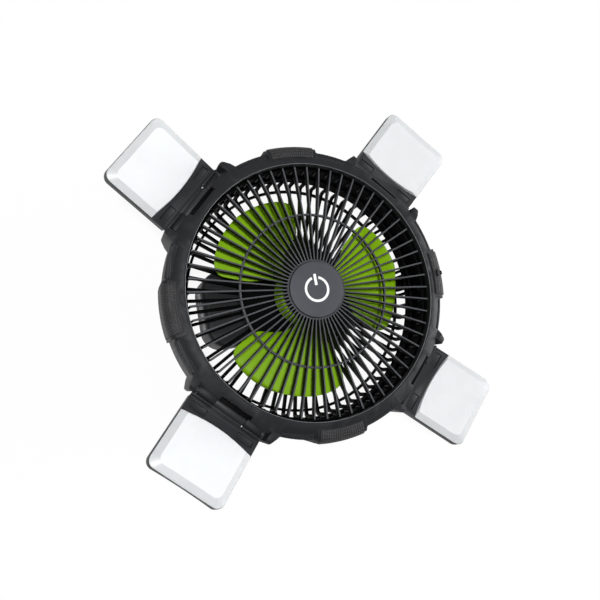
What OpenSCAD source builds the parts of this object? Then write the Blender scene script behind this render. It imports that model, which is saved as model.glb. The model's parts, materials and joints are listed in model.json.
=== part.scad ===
// Round rechargeable camping fan with four hinged light panels. It lies on the back of its
// battery pack, face up: +Z is the fan's front, +Y is the top of its face, and the origin is
// under its centre. Depths are measured backwards from the plane of the front lip.

/* [Ring] */
// Radius of the opening inside the front lip
rim_r = 95; // [94:0.25:96]
// Outer radius of the ring
ring_r = 108; // [107.5:0.25:109]
// Depth of the ring from its lip to its back edge
ring_depth = 36; // [34:0.5:38]
// Wall thickness of the mouldings
wall = 2.2; // [1.8:0.1:2.4]
// Slope of the ring's front face in degrees
face_slope = 24; // [20:1:26]
// Radius of the ring's rounded shoulder
shoulder_r = 4; // [3.5:0.25:4.5]

/* [Front grille] */
// Number of ribs in each grille
rib_count = 60; // [48:2:60]
// Thickness of a front rib
rib_t = 1.3; // [1:0.1:1.4]
// Height of a front rib
rib_h = 4.5; // [3.5:0.5:5]
// Radius of the ring half way along the front ribs
mid_ring_r = 56.8; // [50:0.5:62]
// Depth of the front ribs' front edges under the lip
rib_drop = 1.5; // [1.4:0.1:1.8]

/* [Power button] */
// Radius of the round button in the hub
button_r = 20.8; // [19:0.1:21.2]
// Travel of the button
button_travel = 0.8; // [0.5:0.1:1]

/* [Rotor] */
// Radius of the blade tips
rotor_r = 78; // [74:0.5:80]
// Radius of the rotor's hub
rotor_hub_r = 23.5; // [22:0.25:24.5]
// Number of blades
blade_count = 3; // [2:1:4]
// Half width of a blade in degrees
blade_half_angle = 38; // [30:1:42]
// Distance that a blade spans along the axis
blade_rise = 14; // [10:1:16]
// Thickness of a blade
blade_t = 1.8; // [1.4:0.1:2.2]
// Radius of the motor's shaft
shaft_r = 1.5; // [1.4:0.05:1.6]

/* [Rear grille] */
// Depth of the hub plate's front face under the lip
bowl_depth = 44.8; // [44.4:0.1:45.4]
// Thickness of a rear rib
rear_rib_t = 1.8; // [1.4:0.1:2]
// Radius of the rear grille's hub plate
hub_plate_r = 46; // [40:0.5:50]

/* [Light panels] */
// Radius of the hinge axes
hinge_r = 105.5; // [105.25:0.05:105.75]
// Depth of the hinge axes under the lip
hinge_depth = 16; // [15.5:0.1:16.5]
// Forward tilt of the panels at rest in degrees
panel_tilt = 14; // [0:1:20]
// Width of a panel's tray
tray_w = 59; // [56:0.5:60]
// Distance from the hinge axis to the tray's outer end
tray_len = 59; // [52:0.5:62]
// Thickness of the tray at its middle
tray_t = 3; // [2.8:0.1:3.2]
// Distance from the hinge axis to the diffuser
diffuser_start = 17.5; // [16.5:0.1:20]
// Height of the diffuser over the tray
diffuser_h = 3; // [2.6:0.1:3.4]
// Width of the bevel round the diffuser
bevel_w = 4.4; // [3:0.2:5]
// Radius of the hinge pins
pin_r = 1.25; // [1.1:0.05:1.4]

/* [Battery pack] */
// Length of the pack
pack_l = 150; // [146:1:152]
// Width of the pack
pack_w = 60; // [58:0.5:64]
// Height of the pack's case
pack_h = 30; // [28:0.5:32]
// Radius of the pack's corners
pack_corner_r = 16; // [14:1:18]
// Radius of a battery cell
cell_r = 9.2; // [9:0.1:9.3]
// Length of a battery cell
cell_l = 65; // [64:0.5:66]

/* [Hook] */
// Width of the hanging hook
hook_w = 40; // [34:1:44]
// Length of the hanging hook from its axis
hook_l = 38; // [34:1:38]

/* [Hidden] */

// Common clearances and small sizes
seat_gap = 0.3;
run_gap = 0.03;
over = 1;
round_fn = 96;
small_fn = 32;
panel_first_angle = 45;
quarter_turn = 90;

// Heights
foot_h = 1;
back_t = 2;
grille_depth = bowl_depth + wall;
rim_z = foot_h + back_t + pack_h + grille_depth;

// Ring outline
lip_r = 1.2;
lip_depth = 6;
wall_draft = 0.5;
shoulder_c_r = ring_r - shoulder_r;
shoulder_start_r = shoulder_c_r + shoulder_r * sin(face_slope);
shoulder_start_depth = (shoulder_start_r - rim_r - lip_r) * tan(face_slope);
shoulder_c_depth = shoulder_start_depth + shoulder_r * cos(face_slope);
arc_steps = 8;
function face_depth(r) = max(0, (r - rim_r - lip_r) * tan(face_slope));
function chord(r, y) = sqrt(pow(r, 2) - pow(y, 2));
function arc(cx, cy, r, a0, a1) =
    [for (i = [0:arc_steps]) [cx + r * cos(a0 + (a1 - a0) * i / arc_steps),
                              cy + r * sin(a0 + (a1 - a0) * i / arc_steps)]];
// Outer surface from the lip over the shoulder, grown outwards by an offset
function ring_skin(grow, bottom) = concat(
    arc(shoulder_c_r, -shoulder_c_depth, shoulder_r + grow, quarter_turn - face_slope, 0),
    [[ring_r + grow - wall_draft, -bottom]]);

// Docks that hold the panels
dock_gap = 0.4;
dock_half = tray_w / 2 + dock_gap;
horn_w = 6.6;
horn_tip_w = 4.2;
horn_reach = 4.6;
horn_r = hinge_r + horn_reach;
horn_corner_r = 1.6;
horn_flank = 18;
horn_foot = 3.4;
horn_lift = 0.5;
horn_lap = 1;
horn_top_depth = 5;
tray_back_r = 100.9;
fold_gap = 0.5;
pocket_r = tray_back_r - fold_gap;
pocket_wall = wall;
horn_in_r = pocket_r - pocket_wall / 2;
flange_set_back = 1.1;
flange_x = hinge_r - flange_set_back;
flange_depth = 6.7;
knuckle_r = 3.6;
knuckle_half = 12.6;
knuckle_gap = 0.3;
knuckle_end = 26.5;
slot_l = 3.2;
slot_x = flange_x - slot_l;

// Pads
pad_half_angle = 9.3;
bump_half_angle = 10.6;
bump_h = 2;
pad_t = 2.2;
pad_proud = 0.8;
pad_inner_r = 100.6;
pad_depth = 30;
bump_margin = 1.4;

// Ledge grooves between the pads and the docks
ledge_start_angle = 11.6;
ledge_end_angle = 24.6;
ledge_r = 103.4;
ledge_step = 1.5;
ledge_set_back = 1.5;
ledge_wall_r = ring_r - ledge_set_back;
ledge_bottom = 11;
rail_w = 1.3;
rail_h = 0.6;

// Duct liner
liner_t = 1.8;
flange_t = 2;
liner_ledge = 0.9;
band_depth = 5;
band_h = 9.5;
boss_r = 2.9;
boss_ring_r = 102.7;
screw_r = 1.2;
screw_head_r = 2.3;
screw_head_h = 1.4;
screw_l = 9;
boss_angle = 22.5;

// Front grille
band_r = rim_r - seat_gap;
band_t = 2;
hub_drop = 1.2;
rib_steps = 8;
rib_set_back = 1.5;
leg_w = 1.6;
leg_lift = 0.2;
rib_root_share = 0.78;
mid_ring_w = 1.5;
mid_ring_h = 2.6;
mid_ring_drop = 1.7;
collar_gap = 0.4;
collar_r = button_r + collar_gap;
collar_t = 1.3;
collar_drop = 1;
collar_h = 9;

// Power button
button_t = 1.6;
button_skirt_t = 1.4;
button_skirt_h = 3.4;
button_boss_r = 3.4;
board_t = 1.2;
switch_w = 6;
switch_h = 1.6;
tip_r = 1.7;
tip_h = 1.2;
tip_gap = 0.05;
cup_t = 1.4;
collar_bottom = hub_drop + collar_drop + collar_h;
board_top = collar_bottom - board_t;
tip_bottom = board_top - switch_h - button_travel - tip_gap;

// Rotor and motor
rotor_front = 14;
rotor_hub_h = 17;
rotor_hub_t = 1.8;
rotor_edge_r = 5;
rotor_boss_r = 4;
rotor_boss_h = 5.5;
blade_top = 15;
blade_span_steps = 14;
blade_chord_steps = 9;
blade_root_share = 0.45;
blade_full_share = 0.5;
blade_sweep = 12;
blade_angle = 5;
blade_camber = 2.4;
blade_edge_share = 0.35;
blade_flat_share = 0.3;
tip_power = 18;
can_r = 14.6;
can_t = 1;
can_h = 24;
end_cap_h = 3;
bush_r = 3.4;
bush_h = 3.4;
magnet_t = 2.6;
magnet_half_angle = 60;
armature_r = 10.4;
armature_h = 12;
magnet_h = 14;
shaft_end_gap = 1;
armature_slots = 3;
slot_w = 2.4;
can_front = bowl_depth - can_h;

// Rear grille
rear_band_top = 27;
rear_band_h = 10;
rear_band_t = 1.6;
rear_rib_h = 5.5;
rear_ring_r = 86;
rear_inner_ring_r = 78;
rear_ring_w = 1.8;
rear_step = 0.4;
spoke_w = 13;
bowl_power = 8;
bowl_start_r = 40;
bowl_rim_depth = 30;
rear_r = rim_r - seat_gap;
shaft_hole_gap = 1;
function bowl_z(r) = -bowl_depth + (bowl_depth - bowl_rim_depth)
    * pow(max(0, r - bowl_start_r) / (rear_r - bowl_start_r), bowl_power);
function bowl_under(r) = max(bowl_z(r) - rear_rib_h, -bowl_depth - wall + rear_step);

// Light panels, in the hinge's own frame: x outwards, y along the hinge, z to the front
tray_front = tray_back_r + tray_t - hinge_r;
tray_depth = 12;
tray_start = 5.2;
tray_corner_r = 6;
tray_floor_t = 1.2;
rest_w = 0.9;
diffuser_edge = 1.4;
diffuser_wall = 1.2;
diffuser_land = 0.7;
diffuser_corner_r = 5.2;
diffuser_end = tray_len - diffuser_edge;
diffuser_w = tray_w - 2 * diffuser_edge;
cavity_in = bevel_w / 2 + diffuser_wall;
cavity_corner_r = diffuser_corner_r / 2;
notch_in = 13;
notch_out = 26;
notch_start = 7.8;
notch_end = 12.8;
notch_h = 1.9;
led_w = 38;
led_t = 1;
led_size = 2.8;
led_h = 0.6;
led_rows = 4;
led_columns = 4;
led_pitch = 8;
led_margin = 2;
board_rib_y = 17;
board_rib_w = 1.2;
board_rib_h = 2.2;

// Battery pack
pack_z = foot_h + back_t;
pack_edge_r = 4;
cradle_t = 1.6;
cradle_h = 9;
cell_gap = 1;
cell_shift = 4;
cell_row_y = cell_r + cell_gap;
cradle_l = 2 * cell_l + cell_gap;
control_t = 1.6;
control_w = 30;
control_l = 10.6;
control_x = -pack_l / 2 + wall + seat_gap;
control_z = pack_z + pack_h / 2;
shelf_w = 2;
shelf_in = 2;
usb_a_w = 13.2;
usb_a_h = 5.8;
usb_a_l = 13;
usb_a_y = 6.5;
usb_c_w = 9;
usb_c_h = 3.3;
usb_c_l = 7.5;
usb_c_y = -8.5;
usb_set_back = 0.3;
shell_t = 0.5;
tongue_h = 1.1;
usb_gap = 0.15;
bezel_w = 31;
bezel_h = 11;
bezel_t = 1.4;
bezel_proud = 0.4;
bezel_drop = 2.6;
pack_boss_r = 3.2;
pack_boss_in_x = 20;
pack_boss_in_y = 5;
pack_foot_in_x = 22;
pack_foot_in_y = 12;
foot_r = 4.5;

// Hook
hook_bar = 5;
hook_t = 3.6;
hook_axis_y = -20;
hook_pin_r = 0.9;
hook_gap = 0.9;
hook_sink = 0.2;
hook_axis_z = foot_h + hook_sink + hook_t / 2;
hook_bow_y = hook_axis_y + hook_l - hook_w / 2;
hook_recess_t = hook_t + 2 * hook_sink;
well_t = 1.2;
finger_w = 16;
finger_l = 4;
pin_boss_w = 6;
pin_boss_l = 4;
pin_grip = 2.5;
hook_pin_half = hook_w / 2 + hook_gap + pin_grip;
well_z = foot_h + hook_recess_t + well_t;
cell_z = well_z + cradle_t + cell_r;

// Receiver window in the right pad
remote_r = 2.3;
remote_l = 6;
remote_tilt = 48;
remote_dome = 0.8;

// One profile turned through an angle about the fan's axis, centred on +X
module sector(half_angle) {
    rotate([0, 0, -half_angle]) rotate_extrude(angle = 2 * half_angle, $fn = round_fn) children();
}

// A tube whose top is at the given depth under the lip
module tube(r_out, r_in, depth, h) {
    translate([0, 0, rim_z - depth - h]) difference() {
        cylinder(h = h, r = r_out, $fn = round_fn);
        translate([0, 0, -over]) cylinder(h = h + 2 * over, r = r_in, $fn = round_fn);
    }
}

// A disc whose top is at the given depth under the lip
module disc(r, depth, h, sides = small_fn) {
    translate([0, 0, rim_z - depth - h]) cylinder(h = h, r = r, $fn = sides);
}

// A cube of given length along x from x0, centred in y, between two heights
module slab(x0, x1, w, z0, z1) {
    translate([x0, -w / 2, z0]) cube([x1 - x0, w, z1 - z0]);
}

// A rod along y
module rod_y(r, y0, y1) {
    translate([0, y0, 0]) rotate([-quarter_turn, 0, 0])
        cylinder(h = y1 - y0, r = r, $fn = small_fn);
}

module at_docks() {
    for (k = [0:3]) rotate([0, 0, panel_first_angle + quarter_turn * k]) children();
}

module at_hinge() {
    translate([hinge_r, 0, rim_z - hinge_depth]) children();
}

// Solid half section of the ring's moulding, without its docks
module ring_section() {
    inner_r = shoulder_r - wall;
    polygon(concat(
        [[rim_r, -lip_depth]],
        arc(rim_r + lip_r, -lip_r, lip_r, 2 * quarter_turn, quarter_turn),
        ring_skin(0, ring_depth),
        [[ring_r - wall_draft - wall, -ring_depth]],
        arc(shoulder_c_r, -shoulder_c_depth, inner_r, 0, quarter_turn - face_slope),
        [[rim_r + wall, -face_depth(rim_r + wall) - wall / cos(face_slope)],
         [rim_r + wall, -lip_depth]]));
}

// Section of the raised seat round a grip pad
module bump_section() {
    r0 = pad_inner_r - bump_margin;
    polygon(concat(
        [[r0, -face_depth(r0) - wall], [r0, -face_depth(r0)],
         [pad_inner_r, -face_depth(pad_inner_r) + pad_proud / 2]],
        ring_skin(bump_h, ring_depth - bump_margin),
        [[ring_r - wall, -ring_depth + bump_margin]],
        arc(shoulder_c_r, -shoulder_c_depth, shoulder_r - wall, 0, quarter_turn - face_slope)));
}

// Section of a grip pad, wrapped over the shoulder
module pad_section(grow) {
    polygon(concat(
        [[pad_inner_r - grow, -face_depth(pad_inner_r) + bump_h + pad_proud - pad_t],
         [pad_inner_r - grow, -face_depth(pad_inner_r) + bump_h / 2 + grow]],
        ring_skin(bump_h + pad_proud + grow, pad_depth + grow),
        [[ring_r + bump_h + pad_proud - pad_t, -pad_depth - grow]],
        arc(shoulder_c_r, -shoulder_c_depth, shoulder_r + bump_h + pad_proud - pad_t, 0,
            quarter_turn - face_slope)));
}

// Recessed skin of a ledge groove, with its rail
module ledge_section() {
    top = face_depth(ledge_r) + ledge_step;
    rail_r = (ledge_r + ledge_wall_r) / 2;
    polygon([[ledge_r - wall, -face_depth(ledge_r - wall) - wall / 2],
        [ledge_r - wall / 2, -face_depth(ledge_r)], [ledge_r, -top],
        [rail_r - rail_w / 2, -top], [rail_r - rail_w / 2, -top + rail_h],
        [rail_r + rail_w / 2, -top + rail_h], [rail_r + rail_w / 2, -top],
        [ledge_wall_r, -top], [ledge_wall_r, -ledge_bottom], [ring_r - wall / 2, -ledge_bottom],
        [ring_r - wall / 2, -ledge_bottom - wall], [ledge_wall_r - wall, -ledge_bottom - wall],
        [ledge_wall_r - wall, -top - wall], [ledge_r - wall, -top - wall]]);
}

module ledge_cut_section() {
    top = face_depth(ledge_r) + ledge_step;
    polygon([[ledge_r, -top - wall], [ledge_r, over], [ring_r + over, over],
        [ring_r + over, -ledge_bottom], [ledge_wall_r - wall, -ledge_bottom]]);
}

module at_ledges() {
    half = (ledge_end_angle - ledge_start_angle) / 2;
    for (k = [0:3], side = [-1, 1])
        rotate([0, 0, quarter_turn * k + side * (ledge_start_angle + half)]) children();
}

// Side view of a horn: it follows the face and runs down the outside of the ring
module horn_side() {
    x0 = chord(horn_in_r, dock_half + horn_w + horn_foot);
    polygon(concat(
        [[x0, -ring_depth + horn_lift], [x0, -horn_top_depth],
         [pocket_r - pocket_wall, -horn_top_depth], [shoulder_c_r, -face_depth(shoulder_c_r)]],
        arc(horn_r - shoulder_r, -face_depth(shoulder_start_r) - shoulder_r, shoulder_r,
            quarter_turn, 0),
        [[horn_r, -ring_depth + horn_w], [ring_r - horn_foot, -ring_depth + horn_lift]]));
}

// Plan of a horn on one side of its dock
module horn_plan() {
    y1 = dock_half + horn_w;
    y2 = y1 + horn_foot;
    polygon(concat(
        [[chord(horn_in_r, dock_half), dock_half], [horn_r - horn_corner_r, dock_half]],
        arc(horn_r - horn_corner_r, dock_half + horn_corner_r, horn_corner_r, -quarter_turn, 0),
        arc(horn_r - horn_corner_r, dock_half + horn_tip_w - horn_corner_r, horn_corner_r,
            0, quarter_turn - horn_flank),
        [[chord(ring_r, y1), y1], [chord(horn_in_r, y2), y2]]));
}

module horn() {
    intersection() {
        translate([0, dock_half + horn_w + horn_foot, rim_z]) rotate([quarter_turn, 0, 0])
            linear_extrude(horn_w + horn_foot) horn_side();
        translate([0, 0, rim_z - ring_depth]) linear_extrude(ring_depth) horn_plan();
    }
}

// What a dock adds to the ring: pocket wall, horns and the two fixed knuckles
module dock_body() {
    reach = dock_half + horn_w;
    intersection() {
        tube(pocket_r, pocket_r - pocket_wall, lip_depth - wall, ring_depth - lip_depth + wall);
        slab(0, ring_r, 2 * reach, rim_z - ring_depth - over, rim_z);
    }
    for (side = [0, 1]) mirror([0, side, 0]) {
        horn();
        at_hinge() {
            rod_y(knuckle_r, knuckle_half + knuckle_gap, knuckle_end);
            translate([pocket_r - pocket_wall / 2 - hinge_r, knuckle_half + knuckle_gap, -knuckle_r])
                cube([hinge_r - pocket_r + pocket_wall / 2,
                      knuckle_end - knuckle_half - knuckle_gap, 2 * knuckle_r]);
        }
    }
}

// What a dock takes out of the ring's skin
module dock_cut() {
    slab(pocket_r - wall, ring_r + over, 2 * (dock_half + horn_lap), rim_z - ring_depth - over,
         rim_z - flange_depth);
    slab(flange_x, ring_r + over, 2 * dock_half, rim_z - flange_depth - over, rim_z + over);
    slab(slot_x, ring_r + over, 2 * (knuckle_half + knuckle_gap),
         rim_z - flange_depth - over, rim_z + over);
}

module housing_ring() {
    color("#3a3c40") difference() {
        union() {
            difference() {
                translate([0, 0, rim_z]) rotate_extrude($fn = round_fn) ring_section();
                at_docks() dock_cut();
                at_ledges() translate([0, 0, rim_z])
                    sector((ledge_end_angle - ledge_start_angle) / 2) ledge_cut_section();
            }
            at_docks() dock_body();
            at_ledges() translate([0, 0, rim_z])
                sector((ledge_end_angle - ledge_start_angle) / 2) ledge_section();
            for (k = [0:3]) rotate([0, 0, quarter_turn * k])
                translate([0, 0, rim_z]) sector(bump_half_angle) bump_section();
            at_ring_bosses() disc(boss_r, ring_depth - screw_l - wall, screw_l + wall);
        }
        at_docks() at_hinge() rod_y(pin_r + run_gap, -knuckle_end - over, knuckle_end + over);
        for (k = [0:3]) rotate([0, 0, quarter_turn * k])
            translate([0, 0, rim_z]) sector(pad_half_angle) pad_section(0);
        at_ring_bosses() disc(screw_r + run_gap, ring_depth - screw_l, screw_l + over);
        remote_hole(remote_r + run_gap);
    }
}

module at_ring_bosses() {
    for (k = [0:3], side = [-1, 1])
        rotate([0, 0, quarter_turn * k + side * boss_angle]) translate([boss_ring_r, 0, 0]) children();
}

// Hole for the receiver window, square to the shoulder
module remote_hole(r) {
    translate([shoulder_c_r, 0, rim_z - shoulder_c_depth]) rotate([0, remote_tilt, 0])
        cylinder(h = shoulder_r + bump_h + pad_proud + over, r = r, $fn = small_fn);
}

module remote_window() {
    color("#101014") translate([shoulder_c_r, 0, rim_z - shoulder_c_depth])
        rotate([0, remote_tilt, 0])
        translate([0, 0, shoulder_r + bump_h + pad_proud - remote_l]) {
            cylinder(h = remote_l, r = remote_r, $fn = small_fn);
            translate([0, 0, remote_l - over])
                cylinder(h = remote_dome + over, r = remote_r - remote_dome, $fn = small_fn);
        }
}

module grip_pad(k) {
    color("#26272a") difference() {
        rotate([0, 0, quarter_turn * k])
            translate([0, 0, rim_z]) sector(pad_half_angle) pad_section(0);
        if (k == 0) remote_hole(remote_r + run_gap);
    }
}

// Tube inside the ring, with the flange that closes the ring's back
module duct_liner() {
    top = lip_depth;
    color("#17181a") difference() {
        union() {
            tube(rim_r + liner_t, rim_r, top, ring_depth - top + flange_t);
            tube(ring_r - wall_draft, rim_r, ring_depth, flange_t);
            tube(rim_r + liner_t, rim_r - liner_ledge, band_depth + band_h, wall);
            tube(rim_r + liner_t, rim_r - liner_ledge, rear_band_top + rear_band_h,
                 ring_depth + flange_t - rear_band_top - rear_band_h);
        }
        at_docks() slab(pocket_r, ring_r + over, 2 * (dock_half + horn_w),
                        rim_z - ring_depth - flange_t - over, rim_z - ring_depth + over);
        at_docks() difference() {
            slab(rim_r, ring_r + over, 2 * dock_half,
                 rim_z - ring_depth - flange_t - over, rim_z - ring_depth + over);
            disc(pocket_r, ring_depth - 2 * over, flange_t + 4 * over, round_fn);
        }
        at_ring_bosses() disc(screw_r + run_gap, ring_depth - over, flange_t + 2 * over);
    }
}

module ring_screws() {
    color("#9a9ca0") at_ring_bosses() {
        disc(screw_r, ring_depth - screw_l + wall, screw_l - wall + flange_t);
        disc(screw_head_r, ring_depth + flange_t, screw_head_h);
    }
}

// Front rib: its side view, with a leg down to the band, cut to a plan that narrows to the hub
module front_rib() {
    r0 = collar_r + collar_t / 2;
    r1 = band_r - rib_set_back;
    low = -band_depth - band_h + leg_lift;
    root = rib_t * rib_root_share;
    intersection() {
        translate([0, rib_t, rim_z]) rotate([quarter_turn, 0, 0]) linear_extrude(2 * rib_t)
            polygon([[r0, -rib_drop], [r1, -rib_drop], [r1, low], [r1 - leg_w, low],
                     [r1 - leg_w, -rib_drop - rib_h], [r0, -rib_drop - rib_h]]);
        translate([0, 0, rim_z - ring_depth]) linear_extrude(ring_depth)
            polygon([[r0 - over, -root / 2], [r1 + over, -rib_t / 2],
                     [r1 + over, rib_t / 2], [r0 - over, root / 2]]);
    }
}

module front_grille() {
    color("#55575c") {
        tube(band_r, band_r - band_t, band_depth + wall, band_h - wall);
        tube(mid_ring_r + mid_ring_w / 2, mid_ring_r - mid_ring_w / 2,
             rib_drop + mid_ring_drop, mid_ring_h);
        tube(collar_r + collar_t, collar_r, hub_drop + collar_drop, collar_h);
        for (k = [0:rib_count - 1]) rotate([0, 0, 360 * k / rib_count]) front_rib();
    }
}

module power_button() {
    color("#5f6269") {
        disc(button_r, hub_drop, button_t, round_fn);
        tube(button_r, button_r - button_skirt_t, hub_drop + button_t, button_skirt_h);
        disc(button_boss_r, hub_drop + button_t, tip_bottom - tip_h - hub_drop - button_t);
    }
}

module button_tip() {
    color("#202124") disc(tip_r, tip_bottom - tip_h, tip_h);
}

module button_switch() {
    color("#8c8e92") translate([-switch_w / 2, -switch_w / 2, rim_z - board_top])
        cube([switch_w, switch_w, switch_h]);
}

module button_board() {
    color("#2c5a3a") disc(collar_r - run_gap, board_top, board_t, round_fn);
}

// Cup that closes the hub of the front grille from behind
module hub_cup() {
    color("#55575c") disc(collar_r + collar_t, collar_bottom, cup_t, round_fn);
}

// Blade as a closed loft in polar steps: radius along the span, angle along the chord
module blade() {
    n = blade_span_steps;
    m = blade_chord_steps;
    r0 = rotor_hub_r - rotor_hub_t / 2;
    function ease(t) = t * t * (3 - 2 * t);
    function half(s) = blade_half_angle * sqrt(1 - pow(s, tip_power))
        * (blade_root_share + (1 - blade_root_share) * ease(min(1, s / blade_full_share)));
    function mid(s) = blade_sweep * (1 - ease(min(1, s / blade_full_share)));
    function pt(i, j, side) =
        let (s = sin(quarter_turn * i / n), u = 2 * j / m - 1,
             r = r0 + (rotor_r - r0) * s,
             a = mid(s) + half(s) * u,
             rise = blade_rise * (1 - blade_flat_share * s),
             full = blade_edge_share + (1 - blade_edge_share) * (1 - u * u),
             z = rise / 2 * u + blade_camber * (1 - u * u) - side * blade_t * full)
        [r * cos(a), r * sin(a), z];
    c = n * (m + 1);
    function id(i, j, side) = side * c + i * (m + 1) + j;
    quads = concat(
        [for (i = [0:n - 2], j = [0:m - 1])
            [id(i, j, 0), id(i + 1, j, 0), id(i + 1, j + 1, 0), id(i, j + 1, 0)]],
        [for (i = [0:n - 2], j = [0:m - 1])
            [id(i, j, 1), id(i, j + 1, 1), id(i + 1, j + 1, 1), id(i + 1, j, 1)]],
        [for (i = [0:n - 2]) [id(i, 0, 0), id(i, 0, 1), id(i + 1, 0, 1), id(i + 1, 0, 0)]],
        [for (i = [0:n - 2]) [id(i, m, 0), id(i + 1, m, 0), id(i + 1, m, 1), id(i, m, 1)]],
        [for (j = [0:m - 1]) [id(0, j, 0), id(0, j + 1, 0), id(0, j + 1, 1), id(0, j, 1)]],
        [for (j = [0:m - 1])
            [id(n - 1, j, 0), id(n - 1, j, 1), id(n - 1, j + 1, 1), id(n - 1, j + 1, 0)]]);
    polyhedron([for (side = [0, 1], i = [0:n - 1], j = [0:m]) pt(i, j, side)],
        [for (q = quads, t = [0, 1]) t == 0 ? [q[0], q[2], q[1]] : [q[0], q[3], q[2]]],
        convexity = 4);
}

// Half section of the rotor's hub: a cup with a rounded front edge
module rotor_hub_section() {
    r = rotor_edge_r;
    h = rotor_hub_h;
    polygon(concat([[0, 0]],
        arc(rotor_hub_r - r, -r, r, quarter_turn, 0),
        [[rotor_hub_r, -h], [rotor_hub_r - rotor_hub_t, -h]],
        arc(rotor_hub_r - r, -r, r - rotor_hub_t, 0, quarter_turn),
        [[rotor_boss_r, -rotor_hub_t], [rotor_boss_r, -rotor_boss_h], [0, -rotor_boss_h]]));
}

module fan_rotor() {
    color("#86c61e") difference() {
        union() {
            translate([0, 0, rim_z - rotor_front]) rotate_extrude($fn = round_fn)
                rotor_hub_section();
            for (k = [0:blade_count - 1]) rotate([0, 0, blade_angle + 360 * k / blade_count])
                translate([0, 0, rim_z - blade_top - blade_rise / 2]) blade();
        }
        disc(shaft_r + run_gap, rotor_front + rotor_hub_t, rotor_boss_h);
    }
}

module motor_shaft() {
    color("#b8babd") disc(shaft_r, rotor_front + rotor_hub_t,
        bowl_depth - rotor_front - rotor_hub_t - shaft_end_gap);
}

module motor_armature() {
    color("#7a4a2a") difference() {
        disc(armature_r, can_front + can_h / 2 - armature_h / 2, armature_h);
        disc(shaft_r + run_gap, can_front, can_h);
        for (k = [0:armature_slots - 1]) rotate([0, 0, 360 * k / armature_slots])
            slab(armature_r / 2, armature_r + over, slot_w, rim_z - bowl_depth, rim_z - can_front);
    }
}

module motor_can() {
    color("#a6a8ab") difference() {
        disc(can_r, can_front, can_h - end_cap_h, round_fn);
        disc(can_r - can_t, can_front + can_t, can_h, round_fn);
        disc(bush_r, can_front - over, can_t + 2 * over);
    }
}

module motor_magnets() {
    color("#2b2b2e") for (a = [0, 180]) rotate([0, 0, a])
        translate([0, 0, rim_z - can_front - can_h / 2 - magnet_h / 2])
            sector(magnet_half_angle)
            translate([can_r - can_t - magnet_t, 0]) square([magnet_t, magnet_h]);
}

module motor_end_cap() {
    color("#2e2f33") difference() {
        disc(can_r, can_front + can_h - end_cap_h, end_cap_h, round_fn);
        disc(bush_r, can_front + can_h - end_cap_h - over, end_cap_h + 2 * over);
    }
}

module bush(depth, h) {
    color("#b08a4a") tube(bush_r, shaft_r + run_gap, depth, h);
}

module front_bush() {
    bush(can_front - can_t, bush_h);
}

module rear_bush() {
    bush(can_front + can_h - end_cap_h, end_cap_h);
}

// Rear rib, flat behind the blades and turned up to the outer band
module rear_rib() {
    r0 = hub_plate_r - wall / 2;
    r1 = rear_r - rear_band_t / 2;
    rs = [for (i = [0:rib_steps]) r0 + (r1 - r0) * sin(quarter_turn * i / rib_steps)];
    translate([0, rear_rib_t / 2, rim_z]) rotate([quarter_turn, 0, 0]) linear_extrude(rear_rib_t)
        polygon(concat([for (r = rs) [r, bowl_z(r) + rear_step]],
            [for (i = [rib_steps:-1:0]) [rs[i], bowl_under(rs[i])]]));
}

module rear_grille() {
    color("#1b1c1e") difference() {
        union() {
            tube(rear_r, rear_r - rear_band_t, rear_band_top, rear_band_h);
            for (r = [rear_inner_ring_r, rear_ring_r])
                tube(r + rear_ring_w / 2, r - rear_ring_w / 2, -bowl_z(r - rear_ring_w),
                     bowl_z(r - rear_ring_w) - bowl_under(r) - rear_step);
            disc(hub_plate_r, bowl_depth, wall, round_fn);
            for (k = [1:rib_count - 1]) rotate([0, 0, 360 * k / rib_count]) rear_rib();
            wire_spoke();
        }
        disc(shaft_r + shaft_hole_gap, bowl_depth - over, wall + 2 * over);
    }
}

// Wide spoke on the right that carries the wires out to the ring
module wire_spoke() {
    r0 = hub_plate_r - wall / 2;
    r1 = rear_r - rear_band_t / 2;
    rs = [for (i = [0:rib_steps]) r0 + (r1 - r0) * sin(quarter_turn * i / rib_steps)];
    translate([0, spoke_w / 2, rim_z]) rotate([quarter_turn, 0, 0]) linear_extrude(spoke_w)
        polygon(concat([for (r = rs) [r, bowl_z(r) - rear_step]],
            [for (i = [rib_steps:-1:0]) [rs[i], bowl_under(rs[i]) + rear_step]]));
}

// Rounded plan of the pack
module pack_plan(inset) {
    r = pack_corner_r - inset;
    x = pack_l / 2 - pack_corner_r;
    y = pack_w / 2 - pack_corner_r;
    for (sx = [-1, 1], sy = [-1, 1]) translate([sx * x, sy * y]) circle(r = r, $fn = round_fn);
    square([2 * x, 2 * (y + r)], center = true);
    square([2 * (x + r), 2 * y], center = true);
}

// Solid with the pack's plan and a rounded front edge, made of turned corners and straight runs
module pack_block(inset, h, edge_r) {
    r = pack_corner_r - inset;
    x = pack_l / 2 - pack_corner_r;
    y = pack_w / 2 - pack_corner_r;
    module half_edge(from) {
        translate([from, 0]) square([r - edge_r, h]);
        translate([from, 0]) square([r, h - edge_r]);
        translate([from + r - edge_r, h - edge_r]) circle(r = edge_r, $fn = small_fn);
    }
    for (sx = [-1, 1], sy = [-1, 1]) translate([sx * x, sy * y, 0])
        rotate_extrude($fn = round_fn) half_edge(0);
    for (a = [0, 180]) rotate([0, 0, a]) {
        translate([0, y, 0]) rotate([quarter_turn, 0, quarter_turn])
            linear_extrude(2 * x, center = true) half_edge(0);
        translate([x, 0, 0]) rotate([quarter_turn, 0, 0])
            linear_extrude(2 * y, center = true) half_edge(0);
    }
    translate([-x, -y, 0]) cube([2 * x, 2 * y, h]);
}

module at_pack_bosses() {
    for (sx = [-1, 1], sy = [-1, 1])
        translate([sx * (pack_l / 2 - pack_boss_in_x), sy * (pack_w / 2 - pack_boss_in_y), 0])
        children();
}

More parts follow.
